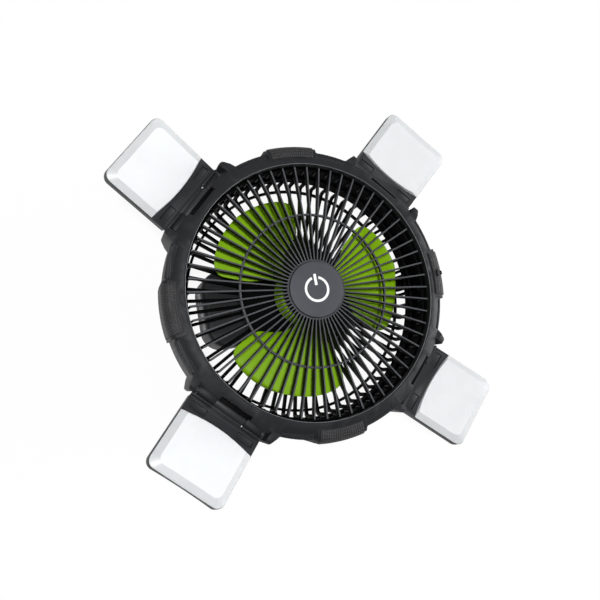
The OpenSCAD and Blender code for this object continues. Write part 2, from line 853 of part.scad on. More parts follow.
module pack_case() {
    color("#202225") difference() {
        union() {
            difference() {
                translate([0, 0, pack_z]) pack_block(0, pack_h, pack_edge_r);
                translate([0, 0, pack_z - over])
                    pack_block(wall, pack_h - wall + over, pack_edge_r - wall / 2);
            }
            at_pack_bosses() translate([0, 0, pack_z])
                cylinder(h = pack_h - wall / 2, r = pack_boss_r, $fn = small_fn);
        }
        at_pack_bosses() translate([0, 0, pack_z - over])
            cylinder(h = screw_l + over, r = screw_r + run_gap, $fn = small_fn);
        at_usb_a() usb_block(usb_a_w + 2 * usb_gap, usb_a_h + 2 * usb_gap, wall + over);
        at_usb_c() usb_block(usb_c_w + 2 * usb_gap, usb_c_h + 2 * usb_gap, wall + over);
        at_bezel() translate([-over, -bezel_w / 2, 0])
            cube([bezel_t - bezel_proud + over, bezel_w, bezel_h]);
    }
}

// Plan of the hook or of its recess
module hook_plan(grow) {
    translate([-hook_w / 2 - grow, hook_axis_y - hook_t / 2 - grow])
        square([hook_w + 2 * grow, hook_bow_y - hook_axis_y + hook_t / 2 + grow]);
    translate([0, hook_bow_y]) circle(r = hook_w / 2 + grow, $fn = round_fn);
}

module finger_plan(grow) {
    translate([-finger_w / 2 - grow, hook_bow_y])
        square([finger_w + 2 * grow, hook_w / 2 + finger_l + grow]);
}

module at_pin_bosses() {
    for (s = [0, 1]) mirror([s, 0, 0]) translate([hook_w / 2 + hook_gap, hook_axis_y, 0])
        children();
}

module rod_x(r, half) {
    translate([-half, 0, 0]) rotate([0, quarter_turn, 0])
        cylinder(h = 2 * half, r = r, $fn = small_fn);
}

module pack_back() {
    color("#202225") difference() {
        union() {
            translate([0, 0, foot_h]) linear_extrude(back_t) pack_plan(0);
            translate([0, 0, foot_h]) linear_extrude(well_z - foot_h) {
                hook_plan(hook_gap + well_t);
                finger_plan(well_t);
            }
            at_pin_bosses() translate([0, -pin_boss_w / 2, foot_h])
                cube([pin_boss_l, pin_boss_w, well_z - foot_h]);
        }
        translate([0, 0, foot_h - over]) linear_extrude(hook_recess_t + over) {
            hook_plan(hook_gap);
            finger_plan(0);
        }
        translate([0, hook_axis_y, hook_axis_z]) rod_x(hook_pin_r + run_gap, hook_pin_half);
        at_pack_bosses() {
            cylinder(h = pack_z + over, r = screw_r + run_gap, $fn = small_fn);
            cylinder(h = foot_h + screw_head_h, r = screw_head_r + run_gap, $fn = small_fn);
        }
    }
}

module pack_screws() {
    color("#9a9ca0") at_pack_bosses() translate([0, 0, foot_h]) {
        cylinder(h = back_t + screw_l - wall, r = screw_r, $fn = small_fn);
        cylinder(h = screw_head_h, r = screw_head_r, $fn = small_fn);
    }
}

module rubber_feet() {
    color("#18181a") for (sx = [-1, 1], sy = [-1, 1])
        translate([sx * (pack_l / 2 - pack_foot_in_x), sy * (pack_w / 2 - pack_foot_in_y), 0])
        cylinder(h = foot_h, r = foot_r, $fn = small_fn);
}

module battery_cells() {
    color("#2d6fb0") for (sx = [-1, 1], sy = [-1, 1])
        translate([cell_shift + sx * (cell_l + cell_gap) / 2 - cell_l / 2, sy * cell_row_y, cell_z])
        rotate([0, quarter_turn, 0]) cylinder(h = cell_l, r = cell_r, $fn = small_fn);
}

// Open tray under the cells, with two shelves that carry the control board
module cell_cradle() {
    x0 = cell_shift - cradle_l / 2;
    color("#d8d8d4") difference() {
        union() {
            translate([x0, -2 * cell_row_y, well_z]) cube([cradle_l, 4 * cell_row_y, cradle_h]);
            for (s = [0, 1]) mirror([0, s, 0])
                translate([control_x, control_w / 2 - shelf_in - shelf_w, pack_z])
                cube([x0 - control_x + shelf_w, shelf_w, control_z - control_t - pack_z]);
        }
        for (sy = [-1, 1]) translate([x0 - over / 2, sy * cell_row_y, cell_z])
            rotate([0, quarter_turn, 0])
            cylinder(h = cradle_l + over, r = cell_r + run_gap, $fn = small_fn);
    }
}

module control_board() {
    color("#2c5a3a") translate([control_x, -control_w / 2, control_z - control_t])
        cube([control_l, control_w, control_t]);
}

// Socket block that starts in front of the outer face of the pack's left end
module usb_block(w, h, l) {
    translate([-over, -w / 2, -h / 2]) cube([l + over, w, h]);
}

module at_usb_a() {
    translate([-pack_l / 2, usb_a_y, control_z + usb_a_h / 2]) children();
}

module at_usb_c() {
    translate([-pack_l / 2, usb_c_y, control_z + usb_c_h / 2]) children();
}

module at_bezel() {
    translate([-pack_l / 2, 0, control_z - bezel_drop]) children();
}

module socket(w, h, l) {
    difference() {
        translate([usb_set_back, -w / 2, -h / 2]) cube([l - usb_set_back, w, h]);
        translate([-over, -w / 2 + shell_t, -h / 2 + shell_t])
            cube([l + over - shell_t, w - 2 * shell_t, h - 2 * shell_t]);
    }
    translate([bezel_t, -w / 2 + 2 * shell_t, -tongue_h / 2])
        cube([l - bezel_t - shell_t / 2, w - 4 * shell_t, tongue_h]);
}

module usb_a_port() {
    color("#c8cacc") at_usb_a() socket(usb_a_w, usb_a_h, usb_a_l);
}

module usb_c_port() {
    color("#c8cacc") at_usb_c() socket(usb_c_w, usb_c_h, usb_c_l);
}

module port_bezel() {
    color("#6a6c70") difference() {
        at_bezel() translate([-bezel_proud, -bezel_w / 2, 0]) cube([bezel_t, bezel_w, bezel_h]);
        at_usb_a() usb_block(usb_a_w + 2 * usb_gap, usb_a_h + 2 * usb_gap, wall);
        at_usb_c() usb_block(usb_c_w + 2 * usb_gap, usb_c_h + 2 * usb_gap, wall);
    }
}

module hanging_hook() {
    color("#2a2c30") difference() {
        union() {
            translate([0, 0, hook_axis_z - hook_t / 2]) linear_extrude(hook_t) {
                translate([-hook_w / 2, hook_axis_y]) square([hook_w, hook_bow_y - hook_axis_y]);
                translate([0, hook_bow_y]) circle(r = hook_w / 2, $fn = round_fn);
            }
            translate([0, hook_axis_y, hook_axis_z]) rod_x(hook_t / 2, hook_w / 2);
        }
        translate([0, 0, hook_axis_z - hook_t]) linear_extrude(2 * hook_t) {
            translate([-hook_w / 2 + hook_bar, hook_axis_y - hook_t])
                square([hook_w - 2 * hook_bar, hook_bow_y - hook_axis_y + hook_t]);
            translate([0, hook_bow_y]) circle(r = hook_w / 2 - hook_bar, $fn = round_fn);
        }
        translate([0, hook_axis_y, hook_axis_z]) rod_x(hook_pin_r + run_gap, hook_w);
    }
}

module hook_pin() {
    color("#b8babd") translate([0, hook_axis_y, hook_axis_z]) rod_x(hook_pin_r, hook_pin_half);
}

// Outline of a tray or a diffuser: square at the hinge, rounded at the outer corners
module panel_outline(x0, x1, w, r) {
    translate([x0, -w / 2]) square([x1 - x0 - r, w]);
    translate([x0, -w / 2 + r]) square([x1 - x0, w - 2 * r]);
    for (s = [-1, 1]) translate([x1 - r, s * (w / 2 - r)]) circle(r = r, $fn = small_fn);
}

// Cylinder about the axis that the fan's axis becomes when the panel is folded back
module fold_cylinder(r) {
    translate([-over, 0, -hinge_r]) rotate([0, quarter_turn, 0])
        cylinder(h = tray_len + 2 * over, r = r, $fn = round_fn);
}

// Block with a panel's outline, a flat front and a hollow curved back
module panel_solid(x0, x1, w, r, back_r, front) {
    difference() {
        translate([0, 0, tray_front - tray_depth]) linear_extrude(tray_depth + front - tray_front)
            panel_outline(x0, x1, w, r);
        fold_cylinder(back_r);
    }
}

module at_panel(k) {
    rotate([0, 0, panel_first_angle + quarter_turn * (k - 1)]) at_hinge()
        rotate([0, -panel_tilt, 0]) children();
}

module light_tray(k) {
    floor_r = tray_back_r + tray_floor_t;
    color("#2a2c30") at_panel(k) {
        difference() {
            union() {
                panel_solid(tray_start, tray_len, tray_w, tray_corner_r, tray_back_r, tray_front);
                rod_y(knuckle_r, -knuckle_half, knuckle_half);
                difference() {
                    slab(0, tray_start + over, 2 * knuckle_half, tray_front - tray_t - over,
                         tray_front);
                    fold_cylinder(tray_back_r);
                }
            }
            panel_solid(diffuser_start + rest_w, diffuser_end - rest_w, diffuser_w - 2 * rest_w,
                        diffuser_corner_r, floor_r, tray_front + over);
            for (s = [0, 1]) mirror([0, s, 0])
                translate([notch_start, notch_in, tray_front - notch_h])
                cube([notch_end - notch_start, notch_out - notch_in, notch_h + over]);
            rod_y(pin_r + run_gap, -knuckle_half - over, knuckle_half + over);
        }
        for (s = [0, 1]) mirror([0, s, 0])
            translate([diffuser_start, board_rib_y, floor_r - hinge_r - board_rib_h])
            cube([diffuser_end - diffuser_start, board_rib_w, board_rib_h]);
    }
}

module diffuser(k) {
    color("#eef2f8") at_panel(k) difference() {
        intersection() {
            translate([0, 0, tray_front]) linear_extrude(diffuser_h)
                panel_outline(diffuser_start, diffuser_end, diffuser_w, diffuser_corner_r);
            diffuser_sides();
            diffuser_tip();
        }
        translate([0, 0, tray_front - over]) linear_extrude(diffuser_h - diffuser_wall + over)
            panel_outline(diffuser_start + diffuser_wall, diffuser_end - cavity_in,
                          diffuser_w - 2 * cavity_in, cavity_corner_r);
    }
}

// Bevels along both sides of the diffuser
module diffuser_sides() {
    w = diffuser_w / 2;
    translate([0, 0, tray_front]) rotate([quarter_turn, 0, quarter_turn])
        linear_extrude(tray_len) polygon([[-w, 0], [w, 0], [w, diffuser_land],
            [w - bevel_w, diffuser_h], [-w + bevel_w, diffuser_h], [-w, diffuser_land]]);
}

// Bevel along the outer end of the diffuser
module diffuser_tip() {
    translate([0, tray_w / 2, tray_front]) rotate([quarter_turn, 0, 0])
        linear_extrude(tray_w) polygon([[0, 0], [diffuser_end, 0], [diffuser_end, diffuser_land],
            [diffuser_end - bevel_w, diffuser_h], [0, diffuser_h]]);
}

module led_board(k) {
    x0 = diffuser_start + rest_w + led_margin;
    x1 = diffuser_end - rest_w - led_margin;
    z0 = tray_back_r + tray_floor_t - hinge_r;
    color("#e8e8e0") at_panel(k) {
        translate([x0, -led_w / 2, z0]) cube([x1 - x0, led_w, led_t]);
        for (i = [0:led_columns - 1], j = [0:led_rows - 1])
            translate([(x0 + x1) / 2 + (i - (led_columns - 1) / 2) * led_pitch - led_size / 2,
                       (j - (led_rows - 1) / 2) * led_pitch - led_size / 2, z0 + led_t - led_h])
            cube([led_size, led_size, 2 * led_h]);
    }
}

module hinge_pin(k) {
    color("#b8babd") rotate([0, 0, panel_first_angle + quarter_turn * (k - 1)]) at_hinge()
        rod_y(pin_r, -knuckle_end, knuckle_end);
}

housing_ring();
duct_liner();
front_grille();
power_button();
button_tip();
button_switch();
button_board();
hub_cup();
fan_rotor();
motor_shaft();
motor_armature();
motor_can();
motor_magnets();
motor_end_cap();
front_bush();
rear_bush();
rear_grille();
pack_case();
pack_back();
battery_cells();
cell_cradle();
control_board();
usb_c_port();
usb_a_port();
port_bezel();
hanging_hook();
hook_pin();
rubber_feet();
grip_pad(0);  // grip_pad_right
grip_pad(1);  // grip_pad_top
grip_pad(2);  // grip_pad_left
grip_pad(3);  // grip_pad_bottom
remote_window();
ring_screws();
pack_screws();
light_tray(1);  // light_tray_1
light_tray(2);  // light_tray_2
light_tray(3);  // light_tray_3
light_tray(4);  // light_tray_4
diffuser(1);  // diffuser_1
diffuser(2);  // diffuser_2
diffuser(3);  // diffuser_3
diffuser(4);  // diffuser_4
led_board(1);  // led_board_1
led_board(2);  // led_board_2
led_board(3);  // led_board_3
led_board(4);  // led_board_4
hinge_pin(1);  // hinge_pin_1
hinge_pin(2);  // hinge_pin_2
hinge_pin(3);  // hinge_pin_3
hinge_pin(4);  // hinge_pin_4
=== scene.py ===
"""Looks of a round camping fan with four hinged light panels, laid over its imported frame."""

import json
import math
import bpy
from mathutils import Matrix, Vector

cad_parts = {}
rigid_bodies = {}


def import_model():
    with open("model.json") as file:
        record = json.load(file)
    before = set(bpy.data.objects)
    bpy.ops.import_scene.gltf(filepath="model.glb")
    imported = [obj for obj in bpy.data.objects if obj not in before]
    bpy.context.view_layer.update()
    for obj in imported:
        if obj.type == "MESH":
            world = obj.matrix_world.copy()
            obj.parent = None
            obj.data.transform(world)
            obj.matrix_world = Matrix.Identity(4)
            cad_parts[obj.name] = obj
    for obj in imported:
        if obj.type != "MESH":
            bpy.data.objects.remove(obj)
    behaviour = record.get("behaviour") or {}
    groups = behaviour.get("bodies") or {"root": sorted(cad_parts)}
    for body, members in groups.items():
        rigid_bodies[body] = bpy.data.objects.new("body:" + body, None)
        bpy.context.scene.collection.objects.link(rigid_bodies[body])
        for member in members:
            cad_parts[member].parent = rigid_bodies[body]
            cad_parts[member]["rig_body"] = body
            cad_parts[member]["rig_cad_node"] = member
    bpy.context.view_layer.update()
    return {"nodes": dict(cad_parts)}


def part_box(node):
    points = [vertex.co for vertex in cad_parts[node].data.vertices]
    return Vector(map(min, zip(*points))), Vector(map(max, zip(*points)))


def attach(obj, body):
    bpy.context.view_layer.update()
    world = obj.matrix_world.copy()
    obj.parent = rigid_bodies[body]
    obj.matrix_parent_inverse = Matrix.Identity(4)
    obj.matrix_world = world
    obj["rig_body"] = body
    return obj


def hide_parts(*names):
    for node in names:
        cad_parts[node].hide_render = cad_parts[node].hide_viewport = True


bl_info = {
    "name": "Camping Fan",
    "version": (1, 0, 0),
    "blender": (4, 5, 0),
    "location": "View3D > Sidebar > Camping Fan",
    "description": "Builds the surfaces, finishes and stage of a camping fan",
    "category": "Object",
}

import bmesh
import bpy
from mathutils import Matrix, Vector

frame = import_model()
NODES = frame["nodes"]
MM = 0.001
LIP_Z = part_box("housing_ring")[1].z
FACE_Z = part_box("power_button")[1].z

# Places and sizes shared with the solids. Depths run back from the ring's lip.
RIB_DROP = 1.5 * MM
RIB_COUNT = 60
HINGE_R = 105.5 * MM
HINGE_DEPTH = 16 * MM
PANEL_TILT = math.radians(14)
BLADE_ROOT_R = 22.6 * MM
BLADE_R = 78 * MM
BLADE_HALF = 38
BLADE_ROOT = 0.45
BLADE_FULL = 0.5
BLADE_SWEEP = 12
BLADE_RISE = 14 * MM
BLADE_CROWN = 2.4 * MM
BLADE_T = 1.7 * MM
BLADE_START = math.radians(5)
HUB_R = 23.5 * MM
HUB_WALL = 1.8 * MM
HUB_ROUND = 5 * MM
HUB_DEPTH = 14 * MM
HUB_H = 17 * MM
SHAFT_R = 1.53 * MM
SHAFT_BOSS_R = 4 * MM
SHAFT_BOSS_H = 5.5 * MM
ROTOR_DEPTH = 22 * MM
RIB_IN_R = 21.9 * MM
RIB_OUT_R = 91.6 * MM
RIB_W = 1.3 * MM
RIB_H = 5 * MM
RIB_TAPER = 0.78
TAPER_R = 93 * MM
LEG_W = 1.6 * MM
LEG_DEPTH = 14.4 * MM
LEG_SPLAY = 0.6 * MM
REAR_DEPTH = 43 * MM
REAR_RIB_H = 3.6 * MM
REAR_IN_R = 44.9 * MM
REAR_OUT_R = 91.4 * MM
REAR_END_W = 2.6 * MM
REAR_END_H = 11 * MM
SPOKE_W = 13 * MM
PLATE_R = 46 * MM
PLATE_HOLE_R = 2.5 * MM
PLATE_DEPTHS = (47 * MM, 44.8 * MM)
# Painted shade: near-black blocks that sit in the ring's four hinge slots
SLOT_R = (101.3 * MM, 104.3 * MM)
SLOT_W = 24.6 * MM
SLOT_DEPTHS = (11 * MM, 4.4 * MM)

# Hoops: inner and outer radius, then the depths of the back and the front, in mm
MID_RING = (56.05, 57.55, 6, 3.2)
COLLAR = (21.2, 22.5, 11.2, 2.2)
FRONT_BAND = (93.2, 94.7, 14.5, 9)
REAR_BAND = (93.1, 94.7, 34, 27)
REAR_RING = (87.4, 89.4, 46.2, 43.4)
# Painted highlight: a thin light-grey hoop along the lip's inner edge
LIP_HIGHLIGHT = (94.94, 95.34, 0.6, 0.01)
HOOP_EDGE = 0.3 * MM
FINE_EDGE = 0.1 * MM
NEAR = 0.1 * MM

# Receiver window's cover: half sizes, radius, depth and slope
LENS_SIZE = (2.0 * MM, 3.0 * MM, 0.5 * MM)
LENS_R = 105.2 * MM
LENS_DEPTH = 1.1 * MM
LENS_SLOPE = math.radians(24)

# Panels, from the hinge outwards
DIFFUSER_X = (17.5 * MM, 58.7 * MM)
DIFFUSER_HALF = 29.2 * MM
DIFFUSER_Z = (-1.6 * MM, -0.9 * MM, 1.4 * MM)
DIFFUSER_CORNER = 5.7 * MM
DIFFUSER_BOW = 3 * MM
DIFFUSER_STEP = 4 * MM
DIFFUSER_SLOPE_W = 5.2 * MM
DIFFUSER_RIM = 1.2 * MM
DIFFUSER_HOLLOW = 1.8 * MM
# Diffuser faces whose facing against the panel's front falls in this range are the slopes, which
# get painted shade
SLOPE_TURN = (0.3, 0.97)
BARREL_R = 3.2 * MM
BARREL_W = 2.5 * MM
BARREL_Y = 28.15 * MM
LIP_BLOCKS = (((4.6, 21.1, -1.55), (1.5, 16.6, 6.1)),   # middle and lengths, in mm
              ((2.7, 28.15, -2.1), (5.4, 2.5, 2.2)))

# Stage: each lamp's name, place, size and power, then the camera
LAMPS = (("key", (-0.39, -0.06, 1.40), 0.16, 16.0),
         ("fill", (1.35, -0.1, 0.36), 0.9, 18.0),
         ("rim", (0.2, 1.1, 0.7), 0.8, 1.8))
LAMP_AIM = (0, 0, 0.05)
WORLD_LIGHT = 0.15
FLOOR_GLOW = 0.92
FLOOR_SIZE = 8
CAMERA_LENS = 33.2
CAMERA_SENSOR = 36
CAMERA_AXES = ((0.9262, -0.1756, 0.3337), (0.1315, 0.9798, 0.1506), (-0.3534, -0.0956, 0.9306))
CAMERA_XY = (-0.1551, -0.0442)
CAMERA_RISE = 0.3686


# ---------------------------------------------------------------- sizes and colours

class FanSizes(bpy.types.PropertyGroup):
    ring_edge: bpy.props.FloatProperty(
        name="Ring Edge", description="Rounding of the ring's moulded edges",
        default=0.35 * MM, min=0.0, max=1 * MM, unit="LENGTH", precision=5)
    pack_edge: bpy.props.FloatProperty(
        name="Pack Edge", description="Rounding of the battery pack's edges",
        default=0.4 * MM, min=0.0, max=1 * MM, unit="LENGTH", precision=5)
    tray_edge: bpy.props.FloatProperty(
        name="Tray Edge", description="Rounding of the light trays' edges",
        default=0.5 * MM, min=0.0, max=1 * MM, unit="LENGTH", precision=5)
    diffuser_edge: bpy.props.FloatProperty(
        name="Diffuser Edge", description="Rounding of the diffusers' edges",
        default=0.5 * MM, min=0.0, max=1 * MM, unit="LENGTH", precision=5)
    mark_r: bpy.props.FloatProperty(
        name="Mark Radius", description="Outer radius of the power mark",
        default=9.6 * MM, min=5 * MM, max=14 * MM, unit="LENGTH", precision=5)
    mark_w: bpy.props.FloatProperty(
        name="Mark Width", description="Line width of the power mark",
        default=1.85 * MM, min=0.5 * MM, max=4 * MM, unit="LENGTH", precision=5)
    rear_rib: bpy.props.FloatProperty(
        name="Rear Rib", description="Thickness of the rear grille's ribs",
        default=2.3 * MM, min=1 * MM, max=3 * MM, unit="LENGTH", precision=5)
    pad_cell: bpy.props.FloatProperty(
        name="Pad Grid", description="Pitch of the grid on the grip pads",
        default=1.8 * MM, min=0.5 * MM, max=5 * MM, unit="LENGTH", precision=5)


def tint(name, text, value):
    return bpy.props.FloatVectorProperty(
        name=name, description=text, subtype="COLOR", size=3, min=0.0, max=1.0, default=value)


class FanColours(bpy.types.PropertyGroup):
    ring: tint("Ring", "Colour of the ring", (0.0135, 0.0142, 0.0165))
    duct: tint("Duct", "Colour of the duct and the rear grille", (0.002, 0.002, 0.0023))
    ribs: tint("Ribs", "Colour of the front grille", (0.074, 0.077, 0.084))
    button: tint("Button", "Colour of the power button", (0.062, 0.066, 0.077))
    mark: tint("Mark", "Colour of the power mark", (0.90, 0.90, 0.90))
    blades: tint("Blades", "Colour of the rotor", (0.212, 0.424, 0.0035))
    pack: tint("Pack", "Colour of the battery pack", (0.012, 0.0125, 0.014))
    tray: tint("Trays", "Colour of the light trays", (0.026, 0.027, 0.030))
    diffuser: tint("Diffusers", "Colour of the diffusers", (0.86, 0.885, 0.925))
    rubber: tint("Rubber", "Colour of the grip pads and feet", (0.014, 0.014, 0.0155))
    metal: tint("Metal", "Colour of pins and screws", (0.50, 0.51, 0.53))
    floor: tint("Floor", "Colour of the floor", (0.92, 0.92, 0.92))


# ---------------------------------------------------------------- materials

FINISHES = {}


def wire(tree, kind, place=(0, 0), **values):
    node = tree.nodes.new(kind)
    node.location = place
    for key, value in values.items():
        if key.startswith("in_"):
            node.inputs[key[3:].replace("_", " ")].default_value = value
        else:
            setattr(node, key, value)
    return node


def link(tree, a, out, b, into):
    tree.links.new(a.outputs[out], b.inputs[into])


def new_finish(name):
    mat = bpy.data.materials.new(name)
    mat.use_nodes = True
    tree = mat.node_tree
    shader = tree.nodes["Principled BSDF"]
    FINISHES[name] = mat
    return mat, tree, shader


def mottled(tree, colour, spread, scale, low=0.35, high=0.65):
    """Colour that wanders a little over the surface, in object space."""
    coords = wire(tree, "ShaderNodeTexCoord", (-1100, 0))
    noise = wire(tree, "ShaderNodeTexNoise", (-900, 100), in_Scale=scale, in_Detail=4.0)
    ramp = wire(tree, "ShaderNodeValToRGB", (-700, 100))
    dark = [c * (1 - spread) for c in colour]
    light = [min(1.0, c * (1 + spread)) for c in colour]
    ramp.color_ramp.elements[0].position = low
    ramp.color_ramp.elements[1].position = high
    ramp.color_ramp.elements[0].color = (*dark, 1)
    ramp.color_ramp.elements[1].color = (*light, 1)
    link(tree, coords, "Object", noise, "Vector")
    link(tree, noise, "Fac", ramp, "Fac")
    return coords, ramp


def grain(tree, coords, shader, scale, strength, rough, rough_spread=0.08, distance=0.00005):
    """Moulded grain as a bump, with a roughness that follows a broader noise."""
    fine = wire(tree, "ShaderNodeTexNoise", (-900, -300), in_Scale=scale, in_Detail=3.0)
    broad = wire(tree, "ShaderNodeTexNoise", (-900, -550), in_Scale=scale * 0.06, in_Detail=3.0)
    bump = wire(tree, "ShaderNodeBump", (-400, -300), in_Strength=strength, in_Distance=distance)
    span = wire(tree, "ShaderNodeMapRange", (-600, -550))
    span.inputs["To Min"].default_value = rough - rough_spread
    span.inputs["To Max"].default_value = rough + rough_spread
    link(tree, coords, "Object", fine, "Vector")
    link(tree, coords, "Object", broad, "Vector")
    link(tree, fine, "Fac", bump, "Height")
    link(tree, broad, "Fac", span, "Value")
    link(tree, span, "Result", shader, "Roughness")
    link(tree, bump, "Normal", shader, "Normal")
    return bump


def plastic(name, colour, rough=0.45, scale=1800, strength=0.25, spread=0.08, coat=0.0,
            shine=0.5):
    mat, tree, shader = new_finish(name)
    coords, ramp = mottled(tree, colour, spread, 90)
    link(tree, ramp, "Color", shader, "Base Color")
    grain(tree, coords, shader, scale, strength, rough)
    shader.inputs["IOR"].default_value = 1.49
    shader.inputs["Specular IOR Level"].default_value = shine
    shader.inputs["Coat Weight"].default_value = coat
    shader.inputs["Coat Roughness"].default_value = 0.15
    return mat


def paint_flank_shade(name, dark):
    """Painted shade: lets a finish fall to a dark tone on the faces that look sideways or back."""
    tree = FINISHES[name].node_tree
    shader = tree.nodes["Principled BSDF"]
    ramp = shader.inputs["Base Color"].links[0].from_node
    coords = wire(tree, "ShaderNodeTexCoord", (-900, 450))
    split = wire(tree, "ShaderNodeSeparateXYZ", (-700, 450))
    front = wire(tree, "ShaderNodeMapRange", (-500, 450), clamp=True)
    front.inputs["From Min"].default_value = 0.35
    front.inputs["From Max"].default_value = 0.85
    blend = wire(tree, "ShaderNodeMixRGB", (-250, 300), in_Color1=(*dark, 1))
    link(tree, coords, "Normal", split, "Vector")
    link(tree, split, "Z", front, "Value")
    link(tree, front, "Result", blend, "Fac")
    link(tree, ramp, "Color", blend, "Color2")
    link(tree, blend, "Color", shader, "Base Color")


def gridded_rubber(name, colour, pitch):
    """Rubber with a square grid pressed in it: one set of lines round the fan, one across. The
    pressed lines are painted lighter and the cells darker: painted highlight and shade.
    """
    mat, tree, shader = new_finish(name)
    coords, ramp = mottled(tree, colour, 0.15, 120)
    split = wire(tree, "ShaderNodeSeparateXYZ", (-900, -800))
    around = wire(tree, "ShaderNodeMath", (-750, -750), operation="ARCTAN2")
    arc = wire(tree, "ShaderNodeMath", (-600, -750), operation="MULTIPLY")
    arc.inputs[1].default_value = 0.108 / pitch
    square_x = wire(tree, "ShaderNodeMath", (-750, -900), operation="MULTIPLY")
    square_y = wire(tree, "ShaderNodeMath", (-750, -1050), operation="MULTIPLY_ADD")
    radius = wire(tree, "ShaderNodeMath", (-600, -950), operation="SQRT")
    across = wire(tree, "ShaderNodeMath", (-450, -950), operation="SUBTRACT")
    across_cells = wire(tree, "ShaderNodeMath", (-300, -950), operation="MULTIPLY")
    across_cells.inputs[1].default_value = 0.78 / pitch
    link(tree, coords, "Object", split, "Vector")
    link(tree, split, "Y", around, 0)
    link(tree, split, "X", around, 1)
    link(tree, around, "Value", arc, 0)
    link(tree, split, "X", square_x, 0)
    link(tree, split, "X", square_x, 1)
    link(tree, split, "Y", square_y, 0)
    link(tree, split, "Y", square_y, 1)
    link(tree, square_x, "Value", square_y, 2)
    link(tree, square_y, "Value", radius, 0)
    link(tree, radius, "Value", across, 0)
    link(tree, split, "Z", across, 1)
    link(tree, across, "Value", across_cells, 0)
    waves = []
    for source, y in ((arc, -750), (across_cells, -950)):
        turn = wire(tree, "ShaderNodeMath", (-150, y), operation="PINGPONG")
        turn.inputs[1].default_value = 0.5
        edge = wire(tree, "ShaderNodeMapRange", (0, y), clamp=True)
        edge.inputs["From Min"].default_value = 0.05
        edge.inputs["From Max"].default_value = 0.16
        link(tree, source, "Value", turn, 0)
        link(tree, turn, "Value", edge, "Value")
        waves.append(edge)
    both = wire(tree, "ShaderNodeMath", (150, -850), operation="MINIMUM")
    link(tree, waves[0], "Result", both, 0)
    link(tree, waves[1], "Result", both, 1)
    bump = wire(tree, "ShaderNodeBump", (300, -850), in_Strength=0.9, in_Distance=0.0004,
                invert=True)
    link(tree, both, "Value", bump, "Height")
    link(tree, bump, "Normal", shader, "Normal")
    # Painted highlight and shade: the grid lines get three times the rubber's colour, the cells
    # 0.6 of it
    shade = wire(tree, "ShaderNodeMixRGB", (150, 0), blend_type="MULTIPLY", in_Fac=1.0)
    tone = wire(tree, "ShaderNodeMapRange", (0, -200))
    tone.inputs["To Min"].default_value = 3.0
    tone.inputs["To Max"].default_value = 0.6
    tone.clamp = False
    link(tree, both, "Value", tone, "Value")
    link(tree, ramp, "Color", shade, "Color1")
    link(tree, tone, "Result", shade, "Color2")
    link(tree, shade, "Color", shader, "Base Color")
    shader.inputs["Roughness"].default_value = 0.62
    return mat


def milky(name, colour):
    mat, tree, shader = new_finish(name)
    coords, ramp = mottled(tree, colour, 0.015, 60)
    link(tree, ramp, "Color", shader, "Base Color")
    grain(tree, coords, shader, 1500, 0.06, 0.38, 0.05)
    shader.inputs["Subsurface Weight"].default_value = 0.35
    shader.inputs["Subsurface Radius"].default_value = (0.004, 0.004, 0.005)
    shader.inputs["Subsurface Scale"].default_value = 1.0
    shader.inputs["IOR"].default_value = 1.49
    return mat


def metal(name, colour, rough):
    mat, tree, shader = new_finish(name)
    coords, ramp = mottled(tree, colour, 0.1, 200)
    link(tree, ramp, "Color", shader, "Base Color")
    grain(tree, coords, shader, 2500, 0.1, rough)
    shader.inputs["Metallic"].default_value = 1.0
    return mat


def printed(name, colour):
    mat, tree, shader = new_finish(name)
    coords, ramp = mottled(tree, colour, 0.02, 300)
    link(tree, ramp, "Color", shader, "Base Color")
    grain(tree, coords, shader, 3000, 0.05, 0.5)
    return mat


def make_finishes(tints, sizes):
    plastic("ring_plastic", tints.ring, 0.55, 2200, 0.22, shine=0.25)
    # The duct's near-black, also used for the painted shade in the ring's hinge slots
    plastic("duct_plastic", tints.duct, 0.6, 2200, 0.12, shine=0.05)
    plastic("grille_plastic", tints.ribs, 0.5, 2600, 0.12, shine=0.15)
    # Painted shade: faces of the grille finish that look sideways or back fall to near-black
    paint_flank_shade("grille_plastic", (0.004, 0.004, 0.0045))
    plastic("button_plastic", tints.button, 0.5, 2600, 0.12, 0.04, shine=0.3)
    plastic("lime_plastic", tints.blades, 0.5, 1500, 0.05, 0.05, shine=0.15)
    plastic("pack_plastic", tints.pack, 0.55, 2000, 0.25, shine=0.2)
    plastic("tray_plastic", tints.tray, 0.5, 2200, 0.2, shine=0.3)
    # The port bezel's plastic, which also colours the painted highlight at the ring's lip
    plastic("bezel_plastic", (0.13, 0.135, 0.145), 0.45, 2200, 0.15)
    plastic("window_plastic", (0.003, 0.0025, 0.004), 0.5, 900, 0.02, 0.1, shine=0.1)
    plastic("switch_plastic", (0.25, 0.25, 0.26), 0.5)
    plastic("cradle_plastic", (0.6, 0.6, 0.57), 0.5)
    plastic("cell_wrap", (0.03, 0.14, 0.42), 0.3, 900, 0.05, 0.1, 0.4)
    plastic("circuit_board", (0.01, 0.09, 0.03), 0.4, 1200, 0.15, 0.2)
    plastic("led_board", (0.75, 0.75, 0.68), 0.45, 1200, 0.1, 0.08)
    plastic("rubber_black", tints.rubber, 0.65, 1500, 0.35, 0.12)
    gridded_rubber("pad_rubber", tints.rubber, sizes.pad_cell)
    milky("diffuser_plastic", tints.diffuser)
    # A darker copy of the diffuser finish for the slopes: painted shade
    milky("diffuser_edge", [0.80 * c for c in tints.diffuser])
    metal("steel", tints.metal, 0.3)
    metal("motor_steel", (0.42, 0.43, 0.45), 0.38)
    metal("copper", (0.45, 0.17, 0.06), 0.42)
    metal("bronze", (0.48, 0.32, 0.13), 0.45)
    metal("magnet", (0.05, 0.05, 0.055), 0.6)
    printed("mark_white", tints.mark)


# ---------------------------------------------------------------- modelling helpers

